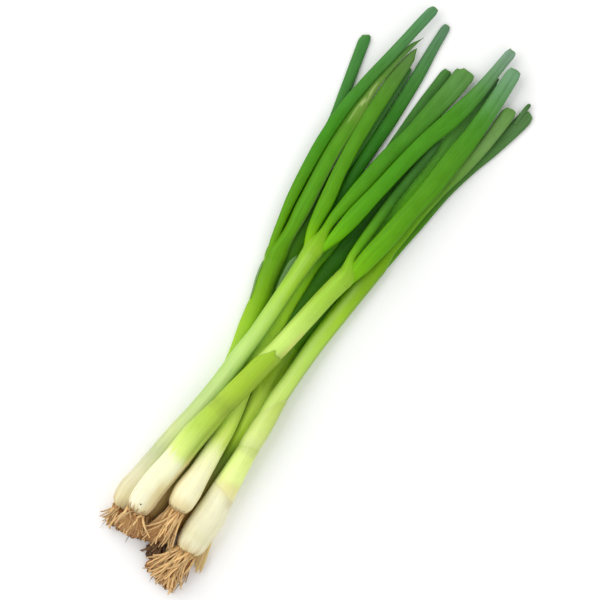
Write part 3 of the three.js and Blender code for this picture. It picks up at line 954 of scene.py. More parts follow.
@dataclass
class Leaf:
    """One hollow leaf, from inside its stem to its cut or pointed tip."""

    # Depth of its dents and of its fine ribs (mm), and how many ribs it has
    DENTS = 0.16
    RIBS = 0.07
    RIB_COUNT = 13
    # How far the foot of a carried-on leaf is drawn in under the mouth of its stem (mm)
    TUCK = 0.6
    # Length of a tip that narrows to a point, and the share of its section that goes (mm, 0 to 1)
    POINT_LENGTH = 9
    POINT_SHARE = 0.92
    # Length over which a cut edge bends the rings below it, and over which the cut end rounds off (mm)
    CUT_REACH = 10
    ROUNDING = 3.2
    # Length of the last stretch before the tip (mm)
    TIP_RING = 0.15

    name: str
    rows: tuple[Row, ...]
    finish: PlantFinish
    seed: int
    slot: Slot = Slot.LEAF
    patches: tuple[Patch, ...] = ()
    pointed: bool = False
    # Loose strips at its tip, where it is folded or torn
    folds: tuple[tuple[Row, ...], ...] = ()
    # How far its skin stands out from the stem that it carries on from, and where it laps over it
    proud: float = 0.0
    lap: float = -1000.0
    # How far its cut edge lies below the end (mm), at angles in degrees
    cut: Lip = ((0, 0.7), (40, 0.1), (140, 0.1), (180, 0.7), (270, 0.3), (360, 0.7))
    # Its teeth, the rounding of its sides, its wall, and how deep the hollow shows (mm)
    cut_ragged: float = 0.3
    corner: float = 0.5
    wall: float = 0.45
    hollow: float = 14.0

    def pointed_tube(self, route: Route, relief: Relief, y: Array, angle: Array, lapped: Array) -> Tube:
        """Shapes a leaf that narrows to a closed point.

        Args:
            route: The leaf's route.
            relief: Its unevenness.
            y: Height of each point, in mm.
            angle: Angle of each point, in radians.
            lapped: How far each point is drawn in under the stem's mouth.

        Returns:
            The tube.
        """
        narrowed = smooth_step(route.end - self.POINT_LENGTH, route.end, y) * self.POINT_SHARE
        half = np.minimum(route.column(3, y), route.column(4, y)) / 2
        points = route.surface(y, angle, relief.inset(y, angle) + half * narrowed + lapped)
        edge = smooth_step(route.end - 3, route.end, y) * 0.6
        return points, y, angle, np.zeros_like(y), edge

    def cut_tube(self, route: Route, relief: Relief, y: Array, angle: Array, lapped: Array) -> Tube:
        """Shapes a leaf with a ragged cut end that shows its hollow inside.

        Args:
            route: The leaf's route.
            relief: Its unevenness.
            y: Height of each point before the cut bends the rings, in mm.
            angle: Angle of each point, in radians.
            lapped: How far each point is drawn in under the stem's mouth.

        Returns:
            The tube.
        """
        draw = np.random.default_rng(self.seed)
        turn = draw.uniform(0, 2 * np.pi)
        angles = angle[0]
        teeth = self.cut_ragged * (0.5 + 0.5 * np.sin(angles * 5 + turn)) * draw.uniform(0.5, 1, LEAF_SIDES)
        jag = lip_height(self.cut, angles) + teeth
        rounded = smooth_step(route.end - self.ROUNDING, route.end, y) ** 2
        rounded = rounded * (0.2 + self.corner * np.abs(np.cos(angle)))
        y = y - jag[None, :] * smooth_step(route.end - self.CUT_REACH, route.end, y)
        outer = route.surface(y, angle, relief.inset(y, angle) + rounded + lapped)
        inner_y = y[-1:] - np.array([0.1, 2, self.hollow / 2, self.hollow])[:, None]
        inner_angle = np.repeat(angle[-1:], len(inner_y), axis=0)
        inset = relief.inset(inner_y, inner_angle) + self.wall + 0.4
        inset = inset + self.corner * np.abs(np.cos(inner_angle))
        points = np.concatenate([outer, route.surface(inner_y, inner_angle, inset)])
        all_y, all_angle = np.concatenate([y, inner_y]), np.concatenate([angle, inner_angle])
        return points, all_y, all_angle, *rim_marks(all_y, len(y), 0.9, 0.5)

    def build(self, groups: PlantGroups) -> bpy.types.Object:
        """Args:
            groups: The shared node groups.

        Returns:
            The finished piece.
        """
        route = Route(self.rows, self.proud)
        relief = Relief(self.seed, self.DENTS, self.RIBS, self.RIB_COUNT)
        steps = int((route.end - route.start) / STRETCH)
        heights = np.insert(np.linspace(route.start, route.end, steps + 1), steps, route.end - self.TIP_RING)
        y, angle = np.meshgrid(heights, ring_angles(LEAF_SIDES), indexing="ij")
        lapped = self.TUCK * (1 - smooth_step(self.lap - 6, self.lap - 1, y))
        shape = self.pointed_tube if self.pointed else self.cut_tube
        points, all_y, all_angle, inside, edge = shape(route, relief, y, angle, lapped)
        skin = Skin(route.start, route.end)
        for number, fold in enumerate(self.folds):
            SkinSet.add_strip(skin, fold, self.seed + number, self.patches)
        skin.add_tube(points, all_y, all_angle, inside, edge, tint_and_light_masks(self.patches, all_y, all_angle))
        material = self.finish.material(groups, route.start, route.end)
        piece = skin.to_object(f"onion_leaf_{self.name}", [material])
        declare(piece, self.slot, f"leaf_{self.name}")
        return piece


@dataclass(frozen=True)
class Flake:
    """A thin skin on a stem, with rows of (y, first angle, last angle, lift) across the stem's surface.

    The angles are in degrees, and the lift is how far it stands off the stem, in mm.
    """

    # Length of one stretch of it (mm), points across it, and how far its middle lifts beside its edges
    STEP = 0.7
    ACROSS = 9
    MIDDLE_LIFT = 0.4

    rows: tuple[tuple[float, float, float, float], ...]
    ragged: float = 0.0
    thickness: float = 0.1
    finish: int = 0

    def add(self, skin: Skin, route: Route, seed: int) -> None:
        """Adds the flake as a thin closed sheet.

        Args:
            skin: The skin that it goes in.
            route: The stem that it lies on.
            seed: The seed of its ragged edges.
        """
        table = np.array(self.rows, float)
        steps = max(4, int((table[-1, 0] - table[0, 0]) / self.STEP))
        y = np.linspace(table[0, 0], table[-1, 0], steps + 1)
        low, high, lift = (smooth_values(table[:, 0], table[:, i], y) for i in (1, 2, 3))
        draw = np.random.default_rng(seed)
        low = low - self.ragged * draw.uniform(0, 1, len(y))
        high = high + self.ragged * draw.uniform(0, 1, len(y))
        across = np.linspace(0, 1, self.ACROSS)
        angle = np.radians(low[:, None] + (high - low)[:, None] * across[None, :])
        height = np.repeat(y[:, None], len(across), axis=1)
        bowl = self.MIDDLE_LIFT + (1 - self.MIDDLE_LIFT) * (2 * across[None, :] - 1) ** 2
        curl = lift[:, None] * bowl
        top = route.surface(height, angle, -curl - self.thickness)
        bottom = route.surface(height, angle, -curl)[:, ::-1]
        points = np.concatenate([top, bottom], axis=1)
        all_y = np.concatenate([height, height], axis=1)
        all_angle = np.concatenate([angle, angle[:, ::-1]], axis=1)
        flat = np.zeros_like(all_y)
        skin.add_tube(points, all_y, all_angle, flat, flat, np.zeros(points.shape), self.finish)


@dataclass(frozen=True)
class SkinSet:
    """The dry skins and membranes on one stem, as one piece that has the stem's name."""

    name: str
    flakes: tuple[Flake, ...]
    finishes: tuple[PlantFinish, ...]
    # Loose strips that leave the stem, as rows of their own
    strips: tuple[tuple[Row, ...], ...] = ()
    # The first seed of its flakes and of its strips
    flake_seeds: int = 5
    strip_seeds: int = 55

    def build(self, groups: PlantGroups) -> bpy.types.Object:
        """Args:
            groups: The shared node groups.

        Returns:
            The finished piece.
        """
        rows = STEM_ROWS[self.name]
        low, high = rows[0][0], rows[-1][0]
        skin = Skin(low, high)
        route = Route(rows)
        for number, flake in enumerate(self.flakes):
            flake.add(skin, route, self.flake_seeds + number)
        for number, strip in enumerate(self.strips):
            self.add_strip(skin, strip, self.strip_seeds + number)
        materials = [finish.material(groups, low, high) for finish in self.finishes]
        piece = skin.to_object(f"onion_skins_{self.name}", materials)
        declare(piece, Slot.STEM)
        return piece

    @staticmethod
    def add_strip(skin: Skin, rows: tuple[Row, ...], seed: int, patches: tuple[Patch, ...] = ()) -> None:
        """Adds one loose strip: a flat closed tube along its own rows, with an uneven edge.

        Args:
            skin: The skin that it goes in.
            rows: Its rows, as for a stem.
            seed: The seed of its unevenness.
            patches: Its local colours.
        """
        route = Route(rows)
        relief = Relief(seed, 0.12, 0.05, 7)
        heights = np.linspace(route.start, route.end, max(6, int(route.end - route.start)))
        y, angle = np.meshgrid(heights, ring_angles(STRIP_SIDES), indexing="ij")
        flat = np.zeros_like(y)
        uneven = relief.inset(y, angle) * np.abs(np.cos(angle)) * 3
        points = route.surface(y, angle, np.minimum(uneven, route.column(3, y) * 0.3))
        skin.add_tube(points, y, angle, flat, flat, tint_and_light_masks(patches, y, angle))


def bulb_fringe(
    rows: Sequence[Row], angles: tuple[float, float], count: int, reach: float, seed: int
) -> tuple[Flake, ...]:
    """Lists the small dry points round the lower end of a bulb, where its skins were torn off.

    Args:
        rows: The stem's rows.
        angles: The first and the last angle, in degrees.
        count: How many points there are.
        reach: Height of a point, in mm.
        seed: The seed of their sizes.

    Returns:
        One flake for each point.
    """
    draw = np.random.default_rng(seed)
    foot_lift, peak_lift, peak_width, ragged = 0.25, 0.12, 1, 1.5
    foot = rows[0][0] + 0.3
    flakes = []
    for turn in np.linspace(angles[0], angles[1], count):
        centre = turn + draw.uniform(-5, 5)
        half = draw.uniform(5, 9)
        peak = foot + reach * draw.uniform(0.5, 1.0)
        tip = centre + draw.uniform(-6, 6)
        low_row = (foot, centre - half, centre + half, foot_lift)
        high_row = (peak, tip, tip + peak_width, peak_lift)
        flakes.append(Flake((low_row, high_row), ragged))
    return tuple(flakes)


TAN_ROOTS = RootFinish("roots_tan", (194, 152, 94), (224, 188, 130), (214, 176, 120))
MAT_ROOTS = RootFinish("root_mat", (160, 112, 60), (178, 134, 80), (172, 124, 74))
BROWN_ROOTS = RootFinish("roots_brown", (70, 46, 28), (104, 72, 44), (132, 100, 66))
DARK_MAT = RootFinish("root_mat_brown", (60, 38, 22), (86, 56, 34), (110, 78, 50))
STRAY_ROOTS = RootFinish("roots_grey", (150, 132, 104), (138, 128, 112), (126, 122, 114))
PLATE = RootFinish("root_plate", (176, 118, 66), (170, 114, 64), (184, 132, 82))

# The roots that lie close together, as rows of (y, x, z, width, height) from the loose end to the plate
ROOT_MATS: dict[str, tuple[tuple[Row, ...], ...]] = {
    "left": (
        (
            (-175, -24.0, 3.0, 4.5, 3), (-171, -24.8, 4.2, 7.5, 5), (-166, -25.4, 5.3, 8.4, 7),
            (-161.6, -25.5, 6.3, 7.5, 7),
        ),
    ),
    "front": (
        (
            (-174, -13.6, 11, 11, 4.4), (-170, -13.6, 14, 15, 8), (-165, -14.6, 17.5, 14.5, 11),
            (-159.6, -15.9, 20, 11, 11),
        ),
        ((-175, -19.6, 9.6, 3.4, 2.6), (-171, -19.4, 12.6, 5, 4.5), (-164, -18, 17.6, 6, 6)),
    ),
    "middle": (
        (
            (-171, -2.6, 10, 5, 4), (-166, -1.6, 12.3, 9, 7), (-158, 1.2, 14.6, 11, 9.4),
            (-146.6, 4.0, 17.1, 9.6, 9.6),
        ),
        (
            (-168, 4.6, 11.6, 8, 4.6), (-163, 4.8, 13.2, 11, 7), (-155, 4.9, 15.4, 12, 9.6),
            (-146.6, 4.4, 17.1, 10, 10),
        ),
    ),
    "right": (
        (
            (-186, 6.6, 3.2, 5, 3), (-182, 8.6, 3.8, 8, 5), (-176, 12.5, 5, 9, 7), (-170, 16.5, 6.5, 9, 9),
            (-165.4, 19.3, 8, 8.5, 10),
        ),
        (
            (-189.4, 19.6, 3, 9.6, 3.6), (-185, 20.2, 3.8, 14, 5.6), (-178, 21, 5, 14.6, 8),
            (-171, 22, 6.8, 14.4, 11), (-165.4, 22.4, 8.2, 14, 13),
        ),
    ),
    "outer": (
        (
            (-173, -5.6, 3.4, 5, 4), (-168, -6.6, 4.4, 8.5, 6.5), (-162, -7.6, 5.4, 9, 8.5),
            (-158.2, -8.2, 5.9, 8.5, 8.5),
        ),
    ),
    "under": (
        ((-179, 3.6, 2.4, 5, 3), (-174, 5.4, 3.2, 9, 5), (-170, 6.2, 4, 9, 6.5), (-166.2, 6.5, 4.5, 7, 7)),
    ),
}

# Single long thin roots that stick out, with the same rows
ROOT_STRAYS: dict[str, tuple[tuple[Row, ...], ...]] = {
    "left": (((-180, -29.4, 1.6, 0.7, 0.7), (-174, -28.8, 2.4, 0.9, 0.9), (-169, -26.6, 4.4, 1.1, 1.1)),),
    "front": (((-179.4, -11.6, 6.4, 0.7, 0.7), (-170, -11.8, 11.6, 1.1, 1.1)),),
    "right": (
        ((-190.6, 28.2, 1.8, 0.8, 0.8), (-180, 28.8, 3.2, 1.1, 1.1), (-170, 28.4, 6.4, 1.3, 1.3)),
        ((-191.4, 12.4, 1.6, 0.8, 0.8), (-184, 13.4, 3.2, 1.1, 1.1)),
    ),
}


class RootGeometry:
    """The Geometry Nodes tree that grows a tuft of roots out of a root plate."""

    # Points along a root and round it
    STRAND_POINTS = 18
    STRAND_SIDES = 6
    # Steps between the seeds of the draws, and between the lanes of noise that two roots bend by
    SEED_STEP = 31.0
    LANE_STEP = 97.0
    # How fast the bends of a root follow each other (1/m)
    BEND_SCALE = 120.0
    # Thickness of a root's end beside its start, and of the thinnest and the thickest root
    TAPER = 0.5
    THINNEST = 0.75
    THICKEST = 1.2

    # The tree's inputs, by the kind of their sockets
    INPUTS = {
        "Int": ("Count", "Seed"),
        "Vector": ("Start",),
        "Float": (
            *("Plate radius", "Dome", "Length", "Shortest", "Yaw low", "Yaw high"),
            *("Pitch low", "Pitch high", "Curl", "Drop", "Wobble", "Radius"),
        ),
        "Material": ("Material",),
    }

    def __init__(self) -> None:
        """Builds the tree."""
        self.tree = bpy.data.node_groups.new("root_tuft", "GeometryNodeTree")
        interface = self.tree.interface
        interface.new_socket("Geometry", in_out="INPUT", socket_type="NodeSocketGeometry")
        self.identifiers: dict[str, str] = {}
        for kind, names in self.INPUTS.items():
            for name in names:
                socket = interface.new_socket(name, in_out="INPUT", socket_type=f"NodeSocket{kind}")
                self.identifiers[name] = socket.identifier
        interface.new_socket("Geometry", in_out="OUTPUT", socket_type="NodeSocketGeometry")
        self.graph = Graph(self.tree)
        self.entry = {socket.name: socket for socket in self.graph.add("NodeGroupInput").outputs}
        self.draws = 0
        self.build()

    def draw(self, low: SocketValue, high: SocketValue) -> Socket:
        """Draws one seeded number for each root.

        Args:
            low: The lowest value.
            high: The highest value.

        Returns:
            The drawn value.
        """
        self.draws += 1
        seed = self.graph.math("ADD", self.entry["Seed"], self.draws * self.SEED_STEP)
        node = self.graph.add("FunctionNodeRandomValue", data_type="FLOAT")
        for index, value in ((2, low), (3, high), (8, seed)):
            self.graph.feed(node.inputs[index], value)
        return node.outputs[1]

    def store(
        self, geometry: Socket, name: str, value: SocketValue, kind: str = "FLOAT"
    ) -> Socket:
        """Stores a point attribute.

        Args:
            geometry: The geometry that gets it.
            name: The attribute's name.
            value: Its value on each point.
            kind: Its data type.

        Returns:
            The geometry with the attribute.
        """
        node = self.graph.add("GeometryNodeStoreNamedAttribute", data_type=kind, domain="POINT")
        self.graph.feed(node.inputs["Geometry"], geometry)
        self.graph.feed(node.inputs["Name"], name)
        self.graph.feed(node.inputs["Value"], value)
        return node.outputs[0]

    def read(self, name: str, kind: str = "FLOAT") -> Socket:
        """Reads a stored attribute.

        Args:
            name: The attribute's name.
            kind: Its data type.

        Returns:
            Its value.
        """
        node = self.graph.add("GeometryNodeInputNamedAttribute", data_type=kind)
        node.inputs["Name"].default_value = name
        return node.outputs[0]

    def build(self) -> None:
        """Adds the nodes: points on the plate, a curve on each, its bent path, and the mesh round it."""
        graph, entry = self.graph, self.entry
        turn = self.draw(0.0, 2 * math.pi)
        out = graph.math("MULTIPLY", graph.math("SQRT", self.draw(0.0, 1.0)), entry["Plate radius"])
        back = graph.math("MULTIPLY", graph.math("MULTIPLY", out, out), entry["Dome"])
        aside = graph.math("MULTIPLY", graph.math("COSINE", turn), out)
        above = graph.math("MULTIPLY", graph.math("SINE", turn), out)
        offset = graph.add("ShaderNodeCombineXYZ", {0: aside, 1: back, 2: above}).outputs[0]
        start = graph.vector_math("ADD", entry["Start"], offset)
        points = graph.add("GeometryNodePoints", {"Count": entry["Count"], "Position": start}).outputs[0]
        shortest = graph.math("MULTIPLY", entry["Length"], entry["Shortest"])
        less_curl = graph.math("MULTIPLY", entry["Curl"], -1.0)
        points = self.store(points, "start", start, "FLOAT_VECTOR")
        for name, low, high in (
            ("yaw", entry["Yaw low"], entry["Yaw high"]),
            ("pitch", entry["Pitch low"], entry["Pitch high"]),
            ("curl", less_curl, entry["Curl"]),
            ("reach", shortest, entry["Length"]),
            ("shade", 0.0, 1.0),
        ):
            points = self.store(points, name, self.draw(low, high))
        line = graph.add("GeometryNodeCurvePrimitiveLine").outputs[0]
        line = graph.add("GeometryNodeResampleCurve", {"Curve": line, "Count": self.STRAND_POINTS}).outputs[0]
        strands = graph.add("GeometryNodeInstanceOnPoints", {"Points": points, "Instance": line}).outputs[0]
        strands = graph.add("GeometryNodeRealizeInstances", {"Geometry": strands}).outputs[0]
        share = graph.add("GeometryNodeSplineParameter").outputs["Factor"]
        strands = self.store(strands, "along", share)
        bent = graph.math("ADD", self.read("yaw"), graph.math("MULTIPLY", self.read("curl"), share))
        reach = graph.math("MULTIPLY", self.read("reach"), share)
        pitch = self.read("pitch")
        level = graph.math("MULTIPLY", graph.math("COSINE", pitch), reach)
        x = graph.math("MULTIPLY", graph.math("SINE", bent), level)
        y = graph.math("MULTIPLY", graph.math("COSINE", bent), graph.math("MULTIPLY", level, -1.0))
        sink = graph.math("MULTIPLY", entry["Drop"], graph.math("MULTIPLY", share, share))
        z = graph.math("SUBTRACT", graph.math("MULTIPLY", graph.math("SINE", pitch), reach), sink)
        path = graph.vector_math("ADD", self.read("start", "FLOAT_VECTOR"), self.combine(x, y, z))
        lane = self.combine(graph.math("MULTIPLY", self.read("shade"), self.LANE_STEP), reach, 0.0)
        lane = graph.vector_math("MULTIPLY", lane, (1.0, self.BEND_SCALE, 1.0))
        bends = {"Vector": lane, "Scale": 1.0, "Detail": 2.0}
        swing = graph.add("ShaderNodeTexNoise", bends).outputs["Color"]
        swing = graph.vector_math("SUBTRACT", swing, (0.5, 0.5, 0.5))
        size = graph.math("MULTIPLY", graph.math("MULTIPLY", share, entry["Wobble"]), 2.0)
        swing = graph.add("ShaderNodeVectorMath", {0: swing, "Scale": size}, operation="SCALE").outputs[0]
        path = graph.vector_math("ADD", path, swing)
        floor = graph.math("MULTIPLY", entry["Radius"], self.THICKEST)
        parts = graph.add("ShaderNodeSeparateXYZ", {0: path}).outputs
        path = self.combine(parts[0], parts[1], graph.math("MAXIMUM", parts[2], floor))
        strands = graph.add("GeometryNodeSetPosition", {"Geometry": strands, "Position": path}).outputs[0]
        taper = graph.rescale(share, 0.0, 1.0, 1.0, self.TAPER)
        thick = graph.rescale(self.read("shade"), 0.0, 1.0, self.THINNEST, self.THICKEST)
        thick = graph.math("MULTIPLY", entry["Radius"], thick)
        thick = graph.math("MULTIPLY", thick, taper)
        strands = graph.add("GeometryNodeSetCurveRadius", {"Curve": strands, "Radius": thick}).outputs[0]
        circle = {"Resolution": self.STRAND_SIDES, "Radius": 1.0}
        ring = graph.add("GeometryNodeCurvePrimitiveCircle", circle).outputs[0]
        inputs = {"Curve": strands, "Profile Curve": ring, "Fill Caps": True}
        tube_node = graph.add("GeometryNodeCurveToMesh", inputs)
        if "Scale" in tube_node.inputs:
            graph.feed(tube_node.inputs["Scale"], thick)
        tubes = graph.add("GeometryNodeSetShadeSmooth", {"Geometry": tube_node.outputs[0]}).outputs[0]
        tubes = graph.add("GeometryNodeRealizeInstances", {"Geometry": tubes}).outputs[0]
        painted = {"Geometry": tubes, "Material": entry["Material"]}
        tubes = graph.add("GeometryNodeSetMaterial", painted).outputs[0]
        join = graph.add("GeometryNodeJoinGeometry")
        graph.feed(join.inputs[0], entry["Geometry"])
        graph.feed(join.inputs[0], tubes)
        graph.add("NodeGroupOutput", {0: join.outputs[0]})

    def combine(self, x: SocketValue, y: SocketValue, z: SocketValue) -> Socket:
        """Joins three numbers into a vector."""
        return self.graph.add("ShaderNodeCombineXYZ", {0: x, 1: y, 2: z}).outputs[0]

    def apply(self, piece: bpy.types.Object, values: Mapping[str, object]) -> None:
        """Runs the tree on a piece and keeps the result as a plain mesh.

        Args:
            piece: The piece, whose own mesh stays in the result.
            values: The value of each input by name.
        """
        modifier = piece.modifiers.new("root_tuft", "NODES")
        modifier.node_group = self.tree
        for name, value in values.items():
            modifier[self.identifiers[name]] = value
        evaluated = piece.evaluated_get(bpy.context.evaluated_depsgraph_get())
        mesh = bpy.data.meshes.new_from_object(evaluated)
        piece.modifiers.remove(modifier)
        piece.data = mesh


@dataclass
class RootTuft:
    """The roots of one onion: a bumpy root plate, ridged bundles and the strands that grow out of it."""

    # The plate's rings: how far behind the bulb they lie (mm), and their share of the bulb's end
    PLATE_BACKS = (0.1, 0.4, 1.0, 1.7, 2.4, 2.9)
    PLATE_SHARES = (0.86, 1.02, 1.08, 0.96, 0.66, 0.3)
    # How far behind the end of the bulb the plate and the roots start (mm)
    PLATE_GAP = 0.25
    ROOT_GAP = 0.6
    # Unevenness of the plate, and its "along" and "shade" values
    BUMPS = 0.07
    PLATE_LOOKS = (0.1, 0.5, 0.0)
    # What is added to the seed for the bundles and for the single long roots
    MAT_SEEDS = 90
    STRAY_SEEDS = 190
    STRAY_RIDGES = 3
    # How much fewer and lower the broad ridges of a bundle are than the fine ones
    BROAD_COUNT = 0.6
    BROAD_HEIGHT = 0.7
    # Lengths of the teeth and of the lobes at the loose end of a bundle (mm)
    TEETH = 2.6
    LOBES = 1.4

    name: str
    stem: tuple[Row, ...]
    strands: int
    length: float
    drop: float
    fan: tuple[float, float]
    rise: tuple[float, float]
    seed: int
    finish: RootFinish = TAN_ROOTS
    plate_finish: RootFinish = PLATE
    slot: Slot = Slot.ROOT
    # How far from the plate's middle the roots start (mm), and how the plate is domed (1/m)
    spread: float = 5.0
    dome: float = 55.0
    # The bundles: their finish, and how many ridges they have and how deep (mm)
    mat_finish: RootFinish = MAT_ROOTS
    ridges: int = 26
    ridge_depth: float = 0.8
    # The strands: radius and bends (mm), turn over their length (degrees), and the shortest one's share
    radius: float = 0.78
    wobble: float = 1.6
    curl: float = 20.0
    shortest: float = 0.55

    def plate(self) -> bpy.types.Object:
        """Builds the root plate, a bumpy dome close against the end of the bulb, and the bundles on it.

        Returns:
            The piece, which still lacks its strands.
        """
        y0, x0, z0, width = self.stem[0][:4]
        angles = ring_angles(PLATE_SIDES)
        draw = np.random.default_rng(self.seed)
        rings = []
        for back, share in zip(self.PLATE_BACKS, self.PLATE_SHARES):
            bumps = 1 + draw.uniform(-self.BUMPS, self.BUMPS, len(angles))
            radius = width / 2 * share * bumps
            x, z = x0 + np.cos(angles) * radius, z0 + np.sin(angles) * radius
            y = np.full(len(angles), y0 - self.PLATE_GAP - back)
            rings.append(np.stack([x, y, np.maximum(z, 0.05)], axis=-1)[::-1])
        points = np.array(rings)
        flat = np.zeros(points.shape[:2])
        skin = Skin(0.0, 1.0)
        looks = np.broadcast_to(np.array(self.PLATE_LOOKS), points.shape)
        skin.add_tube(points, flat, flat, flat, flat, looks)
        for number, rows in enumerate(ROOT_MATS[self.name]):
            self.add_mat(skin, rows, self.seed + self.MAT_SEEDS + number, self.ridges, 1)
        for number, rows in enumerate(ROOT_STRAYS.get(self.name, ())):
            self.add_mat(skin, rows, self.seed + self.STRAY_SEEDS + number, self.STRAY_RIDGES, 2)
        finishes = (self.plate_finish, self.mat_finish, STRAY_ROOTS)
        piece = skin.to_object(f"onion_roots_{self.name}", [finish.material() for finish in finishes])
        looks = np.concatenate(skin.tints_and_light)
        for index, attribute in enumerate(("along", "shade")):
            layer = piece.data.attributes.new(attribute, "FLOAT", "POINT")
            layer.data.foreach_set("value", looks[:, index].astype(np.float32))
        return piece

    def add_mat(self, skin: Skin, rows: tuple[Row, ...], seed: int, ridges: int, finish: int) -> None:
        """Adds the roots that lie close together as one ridged bundle, with a ragged end.

        Args:
            skin: The skin that it goes in.
            rows: Its rows, from the loose end to the plate.
            seed: The seed of its ridges.
            ridges: How many ridges it has round it.
            finish: The number of its material.
        """
        route = Route(rows)
        draw = np.random.default_rng(seed)
        p = draw.uniform(0, 2 * np.pi, 6)
        angles = ring_angles(MAT_SIDES)
        length = route.end - route.start
        along = np.linspace(1, 0, max(10, int(length / 0.8)))[:, None]
        broad, highest = ridges * self.BROAD_COUNT // 1, 1 + self.BROAD_HEIGHT
        comb = np.sin(ridges * angles + p[0]) + self.BROAD_HEIGHT * np.sin(broad * angles + p[1])
        ragged = self.TEETH * (comb + highest) / (2 * highest)
        ragged = ragged + self.LOBES * np.abs(np.sin(4 * angles + p[2])) * length / 20
        y = route.end - along * (length - ragged[None, :])
        angle = np.repeat(angles[None, :], len(y), axis=0)
        twist = 0.5 * np.sin(y / 6 + p[3]) + 0.3 * np.sin(y / 3.1 + 2 * angle + p[4])
        ridge = np.sin(ridges * (angle + 0.08 * twist) + p[0])
        ridge = ridge + self.BROAD_HEIGHT * np.sin(broad * (angle - 0.1 * twist) + p[1])
        height = (ridge + highest) / (2 * highest)
        inset = self.ridge_depth * (1 - height) + 0.9 * smooth_step(0.75, 1.0, along) * (1 - height)
        points = route.surface(y, angle, np.minimum(inset, route.column(4, y) * 0.4))
        shares = np.repeat(along, MAT_SIDES, axis=1)
        flat = np.zeros_like(y)
        # The ridge height goes in as the "shade" value, which darkens the grooves between the ridges as
        # painted shade
        skin.add_tube(points, flat, flat, flat, flat, np.stack([shares, height, flat], axis=-1), finish)

    def build(self, geometry: RootGeometry) -> bpy.types.Object:
        """Args:
            geometry: The node tree that grows the strands.

        Returns:
            The finished piece.
        """
        piece = self.plate()
        y0, x0, z0 = self.stem[0][:3]
        start = (np.array([x0, y0 - self.ROOT_GAP, z0]) - MIDDLE) * MILLIMETRE
        values = {
            "Count": self.strands,
            "Start": tuple(start.tolist()),
            "Plate radius": self.spread * MILLIMETRE,
            "Dome": self.dome,
            "Length": self.length * MILLIMETRE,
            "Shortest": self.shortest,
            "Yaw low": math.radians(self.fan[0]),
            "Yaw high": math.radians(self.fan[1]),
            "Pitch low": math.radians(self.rise[0]),
            "Pitch high": math.radians(self.rise[1]),
            "Curl": math.radians(self.curl),
            "Drop": self.drop * MILLIMETRE,
            "Wobble": self.wobble * MILLIMETRE,
            "Radius": self.radius * MILLIMETRE,
            "Seed": self.seed,
            "Material": self.finish.material(),
        }
        geometry.apply(piece, values)
        declare(piece, self.slot, f"roots_{self.name}")
        return piece


